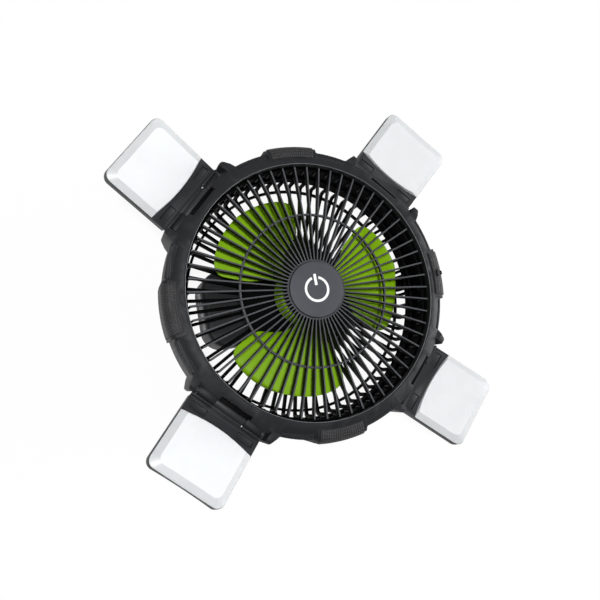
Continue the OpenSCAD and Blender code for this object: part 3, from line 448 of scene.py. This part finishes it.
def deselect():
    if bpy.context.mode != "OBJECT":
        bpy.ops.object.mode_set(mode="OBJECT")
    bpy.ops.object.select_all(action="DESELECT")


def pick(obj):
    deselect()
    obj.hide_viewport = False
    obj.select_set(True)
    bpy.context.view_layer.objects.active = obj


def edit(obj, select="SELECT"):
    pick(obj)
    bpy.ops.object.mode_set(mode="EDIT")
    bpy.ops.mesh.select_mode(type="VERT")
    bpy.ops.mesh.select_all(action=select)


def leave():
    bpy.ops.object.mode_set(mode="OBJECT")


def path(name, points):
    """A chain of vertices, drawn by pulling one vertex from point to point."""
    deselect()
    bpy.ops.mesh.primitive_plane_add(size=0.001, location=points[0])
    obj = bpy.context.object
    obj.name = name
    edit(obj)
    bpy.ops.mesh.merge(type="CENTER")
    for a, b in zip(points, points[1:]):
        step = [q - p for p, q in zip(a, b)]
        bpy.ops.mesh.extrude_region_move(TRANSFORM_OT_translate={"value": step})
    return obj


def spun(name, profile, turn=math.tau, steps=128, closed=True):
    """A profile of (radius, height) points, turned about the fan's axis."""
    obj = path(name, [(r, 0.0, z) for r, z in profile])
    if closed:
        bpy.ops.mesh.select_all(action="SELECT")
        bpy.ops.mesh.edge_face_add()
        bpy.ops.mesh.delete(type="ONLY_FACE")
    bpy.ops.mesh.select_all(action="SELECT")
    bpy.ops.mesh.spin(steps=steps, angle=turn, center=(0, 0, 0), axis=(0, 0, 1))
    bpy.ops.mesh.select_all(action="SELECT")
    bpy.ops.mesh.remove_doubles(threshold=0.00001)
    bpy.ops.mesh.delete_loose()
    if closed and turn < math.tau - 0.001:
        bpy.ops.mesh.select_all(action="DESELECT")
        bpy.ops.mesh.select_mode(type="EDGE")
        bpy.ops.mesh.select_non_manifold()
        bpy.ops.mesh.edge_face_add()
    bpy.ops.mesh.select_all(action="SELECT")
    bpy.ops.mesh.normals_make_consistent(inside=False)
    leave()
    settle(obj)
    return obj


def rounded_box(r0, r1, z0, z1, edge):
    """The corners of an upright section with cut edges."""
    return [(r0 + edge, z0), (r1 - edge, z0), (r1, z0 + edge), (r1, z1 - edge),
            (r1 - edge * 0.7, z1 - edge * 0.3), (r1 - edge * 1.6, z1), (r0 + edge * 1.6, z1),
            (r0 + edge * 0.7, z1 - edge * 0.3), (r0, z1 - edge), (r0, z0 + edge)]


def settle(obj):
    """Moves an object's place into its mesh."""
    pick(obj)
    bpy.ops.object.transform_apply(location=True, rotation=True, scale=True)
    return obj


def modify(obj, kind, **values):
    pick(obj)
    mod = obj.modifiers.new(kind.title(), kind)
    for key, value in values.items():
        setattr(mod, key, value)
    bpy.ops.object.modifier_apply(modifier=mod.name)
    return obj


def smooth(obj, angle=40):
    pick(obj)
    bpy.ops.object.shade_smooth_by_angle(angle=math.radians(angle))
    return obj


def round_edges(obj, width, segments=2, angle=50, **more):
    """Rounds the edges that turn by more than an angle."""
    return modify(obj, "BEVEL", width=width, segments=segments, limit_method="ANGLE",
                  angle_limit=math.radians(angle), **more)


def block(name, place, size):
    """A box by its middle and its three lengths."""
    deselect()
    bpy.ops.mesh.primitive_cube_add(size=1, location=place, scale=size)
    obj = settle(bpy.context.object)
    obj.name = name
    return obj


def hoop(name, sizes, steps, edge=HOOP_EDGE):
    """A ring of rounded section round the fan's axis."""
    r0, r1, low, high = (v * MM for v in sizes)
    return spun(name, rounded_box(r0, r1, LIP_Z - low, LIP_Z - high, edge), steps=steps)


def twin(obj, place):
    """Another of a piece, with a mesh of its own."""
    copy = obj.copy()
    copy.data = obj.data.copy()
    bpy.context.scene.collection.objects.link(copy)
    copy.matrix_world = place
    return copy


def soften(node, width, segments=2, angle=30, name=None):
    """A copy of a solid with its edges rounded, which stands for it."""
    source = NODES[node]
    piece = source.copy()
    piece.data = source.data.copy()
    piece.name = name or node + "_skin"
    bpy.context.scene.collection.objects.link(piece)
    piece.parent = None
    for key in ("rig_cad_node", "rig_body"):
        if key in piece:
            del piece[key]
    edit(piece)
    bpy.ops.mesh.remove_doubles(threshold=0.000004)
    bpy.ops.mesh.dissolve_limited(angle_limit=math.radians(0.6))
    leave()
    if width > 0:
        round_edges(piece, width, segments, angle, use_clamp_overlap=True,
                    miter_outer="MITER_ARC")
    smooth(piece, angle)
    return piece


def dress(piece, finish, body, slot=None, *nodes):
    """Gives a piece its finish and its body, and hides the solids that it stands for. The slot
    argument is not used.
    """
    piece.data.materials.clear()
    piece.data.materials.append(FINISHES[finish])
    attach(piece, body)
    if nodes:
        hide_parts(*nodes)
    return piece


def paint(node, finish):
    """A solid that keeps its own shape gets its finish."""
    obj = NODES[node]
    obj.data.materials.clear()
    obj.data.materials.append(FINISHES[finish])
    for slot in obj.material_slots:
        slot.link = "DATA"


def soft_node(node, finish, body, width, slot=None, **more):
    return dress(soften(node, width, **more), finish, body, slot, node)


# ---------------------------------------------------------------- pieces

class FanOperator:
    """Shared by the fan's operators."""
    bl_options = {"REGISTER"}

    def execute(self, context):
        self.build(context.scene.fan_sizes, context.scene.fan_colours)
        return {"FINISHED"}


class FAN_OT_finishes(FanOperator, bpy.types.Operator):
    """Make the finishes"""
    bl_idname = "fan.finishes"
    bl_label = "Finishes"

    def build(self, sizes, tints):
        make_finishes(tints, sizes)


class FAN_OT_ring(FanOperator, bpy.types.Operator):
    """Build the ring with its docks, the duct inside it, a painted highlight line at the lip and
    painted shade in the hinge slots
    """
    bl_idname = "fan.ring"
    bl_label = "Ring"

    def build(self, sizes, tints):
        soft_node("housing_ring", "ring_plastic", "housing", sizes.ring_edge)
        soft_node("duct_liner", "duct_plastic", "housing", sizes.ring_edge)
        # Painted highlight: a thin light-grey hoop along the lip's inner edge
        line = smooth(hoop("lip_line", LIP_HIGHLIGHT, 240, FINE_EDGE))
        dress(line, "bezel_plastic", "housing", "ring_plastic")
        # Painted shade: near-black blocks in the ring's hinge slots
        slot = bar("slot_shade_block", *SLOT_R, SLOT_W, *(LIP_Z - depth for depth in SLOT_DEPTHS))
        modify(slot, "BEVEL", width=0.2 * MM, segments=2)
        slots = smooth(repeat(slot, 4, math.radians(45)))
        dress(slots, "duct_plastic", "housing", "duct_plastic")


class FAN_OT_pads(FanOperator, bpy.types.Operator):
    """Build the rubber grip pads and the receiver window"""
    bl_idname = "fan.pads"
    bl_label = "Grip Pads"

    def build(self, sizes, tints):
        for side in ("right", "top", "left", "bottom"):
            soft_node("grip_pad_" + side, "pad_rubber", "housing", sizes.ring_edge, "rubber_black")
        soft_node("remote_window", "window_plastic", "housing", 0.15 * MM)
        deselect()
        bpy.ops.mesh.primitive_uv_sphere_add(segments=32, ring_count=16, radius=1,
                                             scale=LENS_SIZE)
        lens = settle(bpy.context.object)
        lens.name = "window_lens"
        lens.matrix_world = (Matrix.Translation((LENS_R, 0, LIP_Z - LENS_DEPTH))
                             @ Matrix.Rotation(LENS_SLOPE, 4, "Y"))
        settle(lens)
        smooth(lens, 60)
        dress(lens, "window_plastic", "housing", "window_plastic")


def choose(test):
    """Selects the faces of the mesh in edit mode whose centre and normal pass a test."""
    bpy.ops.mesh.select_mode(type="FACE")
    bpy.ops.mesh.select_all(action="DESELECT")
    mesh = bmesh.from_edit_mesh(bpy.context.object.data)
    for face in mesh.faces:
        face.select_set(test(face.calc_center_median(), face.normal))
    bmesh.update_edit_mesh(bpy.context.object.data)


def choose_edges(test):
    bpy.ops.mesh.select_mode(type="EDGE")
    bpy.ops.mesh.select_all(action="DESELECT")
    mesh = bmesh.from_edit_mesh(bpy.context.object.data)
    for edge in mesh.edges:
        edge.select_set(test(edge.verts[0].co, edge.verts[1].co))
    bmesh.update_edit_mesh(bpy.context.object.data)


def bar(name, x0, x1, width, z0, z1):
    """A bar along x."""
    return block(name, ((x0 + x1) / 2, 0, (z0 + z1) / 2), (x1 - x0, width, z1 - z0))


def repeat(obj, count, start=0.0, skip=()):
    """Copies of a piece round the fan's axis, joined to it."""
    made = []
    for k in range(count):
        if k in skip:
            continue
        made.append(twin(obj, Matrix.Rotation(start + math.tau * k / count, 4, "Z")))
    bpy.data.objects.remove(obj)
    return merge(made, made[0].name.split(".")[0])


def merge(pieces, name):
    """Joins pieces into one object with its place in its mesh."""
    deselect()
    for piece in pieces:
        piece.select_set(True)
    bpy.context.view_layer.objects.active = pieces[0]
    if len(pieces) > 1:
        bpy.ops.object.join()
    whole = settle(bpy.context.object)
    whole.name = name
    return whole


class FAN_OT_front_grille(FanOperator, bpy.types.Operator):
    """Build the front grille: one rib, its copies and the rings that carry them"""
    bl_idname = "fan.front_grille"
    bl_label = "Front Grille"

    def build(self, sizes, tints):
        top = LIP_Z - RIB_DROP
        low = top - RIB_H
        foot = LIP_Z - LEG_DEPTH
        leg_r = RIB_OUT_R + LEG_W
        rib = bar("rib", RIB_IN_R, RIB_OUT_R, RIB_W, low, top)
        edit(rib)
        choose(lambda c, n: n.x > 0.9)
        bpy.ops.mesh.extrude_region_move(TRANSFORM_OT_translate={"value": (LEG_W, 0, 0)})
        choose(lambda c, n: n.z < -0.9 and c.x > RIB_OUT_R + NEAR)
        bpy.ops.mesh.extrude_region_move(TRANSFORM_OT_translate={"value": (0, 0, foot - low)})
        leave()
        for vert in rib.data.vertices:
            vert.co.y *= RIB_TAPER + (1 - RIB_TAPER) * (vert.co.x / TAPER_R)
            if vert.co.z < foot + NEAR and vert.co.x > leg_r - 2 * NEAR:
                vert.co.x += LEG_SPLAY
        round_edges(rib, HOOP_EDGE)
        ribs = repeat(rib, RIB_COUNT)
        grille = merge([ribs, hoop("mid_ring", MID_RING, 180), hoop("collar", COLLAR, 128)],
                       "front_grille_skin")
        smooth(grille)
        dress(grille, "grille_plastic", "housing", "grille_plastic", "front_grille")
        band = smooth(hoop("front_band", FRONT_BAND, 240))
        dress(band, "duct_plastic", "housing", "grille_plastic")
        soft_node("hub_cup", "grille_plastic", "housing", 0.2 * MM)


class FAN_OT_button(FanOperator, bpy.types.Operator):
    """Build the power button and its mark"""
    bl_idname = "fan.button"
    bl_label = "Power Button"

    def build(self, sizes, tints):
        soft_node("power_button", "button_plastic", "button", 0.5 * MM, segments=3)
        z = FACE_Z - 0.05 * MM
        thick = 0.12 * MM
        r1 = sizes.mark_r
        r0 = r1 - sizes.mark_w
        gap = math.radians(17)
        ring = spun("mark_ring", [(r0, z), (r1, z), (r1, z + thick), (r0, z + thick)],
                    turn=math.tau - 2 * gap, steps=96)
        middle = sum((v.co for v in ring.data.vertices), Vector()) / len(ring.data.vertices)
        ring.matrix_world = Matrix.Rotation(-math.pi / 2 - math.atan2(middle.y, middle.x), 4, "Z")
        settle(ring)
        dress(ring, "mark_white", "button", "button_plastic")
        stroke = block("mark_bar", (0, 7.1 * MM, z + thick / 2), (2.1 * MM, 8.4 * MM, thick))
        modify(stroke, "BEVEL", width=0.04 * MM, segments=2)
        dress(stroke, "mark_white", "button", "button_plastic")


def ease(t):
    return t * t * (3 - 2 * t)


def blade_point(s, u):
    """A point of a blade's front: s runs from hub to tip, u from edge to edge."""
    r0 = BLADE_ROOT_R
    share = BLADE_ROOT + (1 - BLADE_ROOT) * ease(min(1, s / BLADE_FULL))
    half = BLADE_HALF * math.sqrt(max(0.0, 1 - s ** 18)) * share
    sweep = BLADE_SWEEP * (1 - ease(min(1, s / BLADE_FULL)))
    r = r0 + (BLADE_R - r0) * s
    a = math.radians(sweep + half * u)
    rise = BLADE_RISE * (1 - 0.3 * s)
    z = rise / 2 * u + BLADE_CROWN * (1 - u * u)
    return r * math.cos(a), r * math.sin(a), LIP_Z - ROTOR_DEPTH + z


class FAN_OT_rotor(FanOperator, bpy.types.Operator):
    """Build the rotor: a cup for its hub and three broad blades"""
    bl_idname = "fan.rotor"
    bl_label = "Rotor"

    def build(self, sizes, tints):
        deselect()
        rows, columns = 30, 20
        bpy.ops.mesh.primitive_grid_add(x_subdivisions=rows, y_subdivisions=columns, size=2)
        blade = bpy.context.object
        blade.name = "blade"
        for vert in blade.data.vertices:
            i = round((vert.co.x + 1) / 2 * rows)
            s = math.sin(math.pi / 2 * i / (rows + 1))
            vert.co = blade_point(s, vert.co.y)
        edit(blade)
        bpy.ops.mesh.extrude_region_move(TRANSFORM_OT_translate={"value": (0, 0, -BLADE_T)})
        bpy.ops.mesh.select_all(action="SELECT")
        bpy.ops.mesh.normals_make_consistent(inside=False)
        leave()
        round_edges(blade, 0.55 * MM, 3, 55)
        blades = repeat(blade, 3, BLADE_START)
        top = LIP_Z - HUB_DEPTH
        flat_r = HUB_R - HUB_ROUND
        roof = top - HUB_WALL
        outline = [(0.0, top)]
        for turn, reach in ((-1, HUB_ROUND), (1, HUB_ROUND - HUB_WALL)):
            for k in range(9):
                a = math.pi / 2 * (k / 8 if turn > 0 else 1 - k / 8)
                outline.append((flat_r + reach * math.cos(a),
                                top - HUB_ROUND + reach * math.sin(a)))
            if turn < 0:
                outline += [(HUB_R, top - HUB_H), (HUB_R - HUB_WALL, top - HUB_H)]
        outline += [(SHAFT_BOSS_R, roof), (SHAFT_BOSS_R, top - SHAFT_BOSS_H),
                    (SHAFT_R, top - SHAFT_BOSS_H), (SHAFT_R, roof), (0.0, roof)]
        hub = spun("hub", outline, steps=128)
        rotor = merge([blades, hub], "fan_rotor_skin")
        smooth(rotor, 35)
        dress(rotor, "lime_plastic", "rotor", "lime_plastic", "fan_rotor")


class FAN_OT_motor(FanOperator, bpy.types.Operator):
    """Finish the motor"""
    bl_idname = "fan.motor"
    bl_label = "Motor"

    def build(self, sizes, tints):
        paint("motor_shaft", "steel")
        paint("motor_armature", "copper")
        paint("motor_magnets", "magnet")
        paint("front_bush", "bronze")
        paint("rear_bush", "bronze")
        soft_node("motor_can", "motor_steel", "housing", 0.3 * MM)
        soft_node("motor_end_cap", "duct_plastic", "housing", 0.3 * MM)


def rear_bar(width):
    """A rear rib: flat behind the blades, turned forward at its end to reach the band."""
    z0, z1 = LIP_Z - REAR_DEPTH - REAR_RIB_H, LIP_Z - REAR_DEPTH
    rib = bar("rear_rib", REAR_IN_R, REAR_OUT_R, width, z0, z1)
    edit(rib)
    choose(lambda c, n: n.x > 0.9)
    bpy.ops.mesh.extrude_region_move(TRANSFORM_OT_translate={"value": (REAR_END_W, 0, 0)})
    choose(lambda c, n: n.z > 0.9 and c.x > REAR_OUT_R + NEAR)
    bpy.ops.mesh.extrude_region_move(TRANSFORM_OT_translate={"value": (0, 0, REAR_END_H)})
    choose_edges(lambda a, b: min(a.x, b.x) > REAR_OUT_R + REAR_END_W - 5 * NEAR
                 and max(a.z, b.z) < z0 + NEAR and abs(a.x - b.x) < NEAR)
    bpy.ops.mesh.bevel(offset=2.4 * MM, segments=4, affect="EDGES")
    choose_edges(lambda a, b: all(abs(c.x - REAR_OUT_R) < NEAR and abs(c.z - z1) < NEAR
                                  for c in (a, b)))
    bpy.ops.mesh.bevel(offset=1.6 * MM, segments=3, affect="EDGES")
    leave()
    return round_edges(rib, HOOP_EDGE)


class FAN_OT_rear_grille(FanOperator, bpy.types.Operator):
    """Build the rear grille"""
    bl_idname = "fan.rear_grille"
    bl_label = "Rear Grille"

    def build(self, sizes, tints):
        ribs = repeat(rear_bar(sizes.rear_rib), RIB_COUNT, skip=(0,))
        spoke = rear_bar(SPOKE_W)
        back, front = (LIP_Z - depth for depth in PLATE_DEPTHS)
        plate = spun("rear_plate", [(PLATE_HOLE_R, back), (PLATE_R, back), (PLATE_R, front),
                                    (PLATE_HOLE_R, front)], steps=128)
        grille = merge([ribs, spoke, hoop("rear_band", REAR_BAND, 240), plate,
                        hoop("rear_ring", REAR_RING, 180)], "rear_grille_skin")
        smooth(grille)
        dress(grille, "duct_plastic", "housing", "duct_plastic", "rear_grille")


class FAN_OT_pack(FanOperator, bpy.types.Operator):
    """Build the battery pack with its sockets and feet"""
    bl_idname = "fan.pack"
    bl_label = "Battery Pack"

    def build(self, sizes, tints):
        soft_node("pack_case", "pack_plastic", "housing", sizes.pack_edge)
        soft_node("pack_back", "pack_plastic", "housing", sizes.pack_edge)
        soft_node("port_bezel", "bezel_plastic", "housing", 0.15 * MM)
        soft_node("rubber_feet", "rubber_black", "housing", 0.3 * MM)
        for node in ("usb_a_port", "usb_c_port"):
            paint(node, "steel")
        paint("battery_cells", "cell_wrap")
        paint("cell_cradle", "cradle_plastic")
        paint("control_board", "circuit_board")
        paint("button_board", "circuit_board")
        paint("button_switch", "switch_plastic")
        paint("button_tip", "rubber_black")


class FAN_OT_hook(FanOperator, bpy.types.Operator):
    """Build the folding hook"""
    bl_idname = "fan.hook"
    bl_label = "Hook"

    def build(self, sizes, tints):
        soft_node("hanging_hook", "tray_plastic", "hook", 0.6 * MM, segments=3)
        paint("hook_pin", "steel")


class FAN_OT_screws(FanOperator, bpy.types.Operator):
    """Finish the screws and the hinge pins"""
    bl_idname = "fan.screws"
    bl_label = "Screws and Pins"

    def build(self, sizes, tints):
        for node in ("ring_screws", "pack_screws"):
            soft_node(node, "steel", "housing", 0.25 * MM)
        for k in range(1, 5):
            paint("hinge_pin_%d" % k, "steel")


def panel_place(k):
    """Where panel k stands: x outwards from its hinge, y along the hinge, z to the front."""
    azimuth = math.radians(45 + 90 * (k - 1))
    return (Matrix.Rotation(azimuth, 4, "Z")
            @ Matrix.Translation((HINGE_R, 0, LIP_Z - HINGE_DEPTH))
            @ Matrix.Rotation(-PANEL_TILT, 4, "Y"))


def diffuser_shell(sizes):
    """A milky cover: a low block with round outer corners, drawn in towards its flat top."""
    x0, x1 = DIFFUSER_X
    z0, z1, z2 = DIFFUSER_Z
    half = DIFFUSER_HALF
    shell = block("diffuser_skin", ((x0 + x1) / 2, 0, (z0 + z1) / 2),
                  (x1 - x0, 2 * half, z1 - z0))
    edit(shell)
    choose_edges(lambda a, b: abs(a.z - b.z) > NEAR and a.x > x1 - NEAR)
    bpy.ops.mesh.bevel(offset=DIFFUSER_CORNER, segments=8, affect="EDGES")
    for k in range(-6, 7):
        bpy.ops.mesh.select_all(action="SELECT")
        bpy.ops.mesh.bisect(plane_co=(0, k * DIFFUSER_STEP, 0), plane_no=(0, 1, 0))
    mesh = bmesh.from_edit_mesh(shell.data)
    for vert in mesh.verts:
        if vert.co.x < x0 + NEAR:
            vert.co.x -= DIFFUSER_BOW * (1 - (vert.co.y / half) ** 2)
    bmesh.update_edit_mesh(shell.data)
    choose(lambda c, n: n.z > 0.9)
    bpy.ops.mesh.extrude_region_move(TRANSFORM_OT_translate={"value": (0, 0, z2 - z1)})
    bpy.ops.transform.resize(value=((x1 - x0 - DIFFUSER_SLOPE_W) / (x1 - x0),
                                    (half - DIFFUSER_SLOPE_W) / half, 1),
                             center_override=(x0, 0, z2))
    choose(lambda c, n: n.z < -0.9)
    bpy.ops.mesh.inset(thickness=DIFFUSER_RIM)
    bpy.ops.mesh.extrude_region_move(
        TRANSFORM_OT_translate={"value": (0, 0, DIFFUSER_HOLLOW)})
    bpy.ops.transform.resize(value=(0.9, 0.9, 1), center_override=(x0 + DIFFUSER_RIM, 0, z1))
    leave()
    smooth(shell, 60)
    return round_edges(shell, sizes.diffuser_edge, 4, 15, harden_normals=True)


def hinge_lip():
    """The tray's inner edge beside the ring's knuckles, with a short barrel at each end."""
    parts = []
    for side in (-1, 1):
        for (x, y, z), size in LIP_BLOCKS:
            parts.append(block("lip_part", (x * MM, side * y * MM, z * MM),
                               [v * MM for v in size]))
        deselect()
        bpy.ops.mesh.primitive_cylinder_add(
            vertices=40, radius=BARREL_R, depth=BARREL_W,
            location=(0, side * BARREL_Y, 0), rotation=(math.pi / 2, 0, 0))
        parts.append(settle(bpy.context.object))
    return smooth(round_edges(merge(parts, "tray_lip"), HOOP_EDGE))


class FAN_OT_panels(FanOperator, bpy.types.Operator):
    """Build the light panels"""
    bl_idname = "fan.panels"
    bl_label = "Light Panels"

    def build(self, sizes, tints):
        shell = diffuser_shell(sizes)
        lip = hinge_lip()
        for k in range(1, 5):
            body = "panel_%d" % k
            soft_node("light_tray_%d" % k, "tray_plastic", body, sizes.tray_edge)
            cover = settle(twin(shell, panel_place(k)))
            cover.name = "diffuser_%d_skin" % k
            dress(cover, "diffuser_plastic", body, "diffuser_plastic", "diffuser_%d" % k)
            # The slopes take the darker diffuser_edge finish: painted shade
            cover.data.materials.append(FINISHES["diffuser_edge"])
            front = panel_place(k).to_3x3() @ Vector((0, 0, 1))
            for face in cover.data.polygons:
                if SLOPE_TURN[0] < face.normal.dot(front) < SLOPE_TURN[1]:
                    face.material_index = 1
            edge = settle(twin(lip, panel_place(k)))
            edge.name = "tray_lip_%d" % k
            dress(edge, "tray_plastic", body, "tray_plastic")
            paint("led_board_%d" % k, "led_board")
        bpy.data.objects.remove(shell)
        bpy.data.objects.remove(lip)


class FAN_OT_stage(FanOperator, bpy.types.Operator):
    """Set the floor, the lights and the camera"""
    bl_idname = "fan.stage"
    bl_label = "Stage"

    def build(self, sizes, tints):
        scene = bpy.context.scene
        scene.view_settings.view_transform = "Standard"
        deselect()
        bpy.ops.mesh.primitive_plane_add(size=FLOOR_SIZE, location=(0, 0, 0))
        floor = settle(bpy.context.object)
        floor.name = "floor"
        mat, tree, shader = new_finish("floor_paper")
        coords, ramp = mottled(tree, tints.floor, 0.01, 3)
        link(tree, ramp, "Color", shader, "Base Color")
        shader.inputs["Roughness"].default_value = 0.9
        rays = wire(tree, "ShaderNodeLightPath", (-400, 500))
        sharp = wire(tree, "ShaderNodeMath", (-200, 500), operation="MAXIMUM")
        direct = wire(tree, "ShaderNodeMath", (0, 500), operation="MAXIMUM")
        share = wire(tree, "ShaderNodeMath", (150, 500), operation="MULTIPLY")
        share.inputs[1].default_value = FLOOR_GLOW
        glow = wire(tree, "ShaderNodeEmission", (200, 300), in_Strength=1.0)
        mix = wire(tree, "ShaderNodeMixShader", (500, 200))
        out = tree.nodes["Material Output"]
        link(tree, rays, "Is Camera Ray", sharp, 0)
        link(tree, rays, "Is Glossy Ray", sharp, 1)
        link(tree, sharp, "Value", direct, 0)
        link(tree, rays, "Is Transmission Ray", direct, 1)
        link(tree, direct, "Value", share, 0)
        link(tree, share, "Value", mix, "Fac")
        link(tree, shader, "BSDF", mix, 1)
        link(tree, glow, "Emission", mix, 2)
        link(tree, mix, "Shader", out, "Surface")
        floor.data.materials.append(mat)

        world = bpy.data.worlds.new("studio")
        scene.world = world
        world.use_nodes = True
        sky = world.node_tree
        back = sky.nodes["Background"]
        back.inputs["Color"].default_value = (1.0, 1.0, 1.0, 1)
        back.inputs["Strength"].default_value = WORLD_LIGHT
        rays = wire(sky, "ShaderNodeLightPath", (-400, 300))
        white = wire(sky, "ShaderNodeBackground", (-200, 100), in_Strength=1.0)
        mix = wire(sky, "ShaderNodeMixShader", (100, 200))
        link(sky, rays, "Is Camera Ray", mix, "Fac")
        link(sky, back, "Background", mix, 1)
        link(sky, white, "Background", mix, 2)
        link(sky, mix, "Shader", sky.nodes["World Output"], "Surface")

        for name, place, size, power in LAMPS:
            lamp = bpy.data.lights.new(name, "AREA")
            lamp.size = size
            lamp.energy = power
            obj = bpy.data.objects.new(name, lamp)
            scene.collection.objects.link(obj)
            obj.location = place
            aim = Vector(LAMP_AIM) - Vector(place)
            obj.rotation_euler = aim.to_track_quat("-Z", "Y").to_euler()

        camera = bpy.data.cameras.new("camera")
        camera.lens = CAMERA_LENS
        camera.sensor_width = CAMERA_SENSOR
        camera.clip_start = 0.01
        view = bpy.data.objects.new("camera", camera)
        scene.collection.objects.link(view)
        turn = Matrix(CAMERA_AXES).transposed().to_4x4()
        view.matrix_world = Matrix.Translation((*CAMERA_XY, CAMERA_RISE + LIP_Z)) @ turn
        scene.camera = view


STEPS = (FAN_OT_finishes, FAN_OT_ring, FAN_OT_pads, FAN_OT_front_grille, FAN_OT_button,
         FAN_OT_rotor, FAN_OT_motor, FAN_OT_rear_grille, FAN_OT_pack, FAN_OT_hook,
         FAN_OT_screws, FAN_OT_panels, FAN_OT_stage)


class FAN_PT_panel(bpy.types.Panel):
    bl_idname = "FAN_PT_panel"
    bl_label = "Camping Fan"
    bl_space_type = "VIEW_3D"
    bl_region_type = "UI"
    bl_category = "Camping Fan"

    def draw(self, context):
        for group in (context.scene.fan_sizes, context.scene.fan_colours):
            for name in group.bl_rna.properties.keys():
                if name not in ("rna_type", "name"):
                    self.layout.prop(group, name)
        for step in STEPS:
            self.layout.operator(step.bl_idname)


CLASSES = (FanSizes, FanColours, *STEPS, FAN_PT_panel)


def register():
    for cls in CLASSES:
        bpy.utils.register_class(cls)
    bpy.types.Scene.fan_sizes = bpy.props.PointerProperty(type=FanSizes)
    bpy.types.Scene.fan_colours = bpy.props.PointerProperty(type=FanColours)


def unregister():
    del bpy.types.Scene.fan_colours
    del bpy.types.Scene.fan_sizes
    for cls in reversed(CLASSES):
        bpy.utils.unregister_class(cls)


def main():
    register()
    for step in STEPS:
        group, name = step.bl_idname.split(".")
        getattr(getattr(bpy.ops, group), name)()
    deselect()


if __name__ == "__main__":
    main()
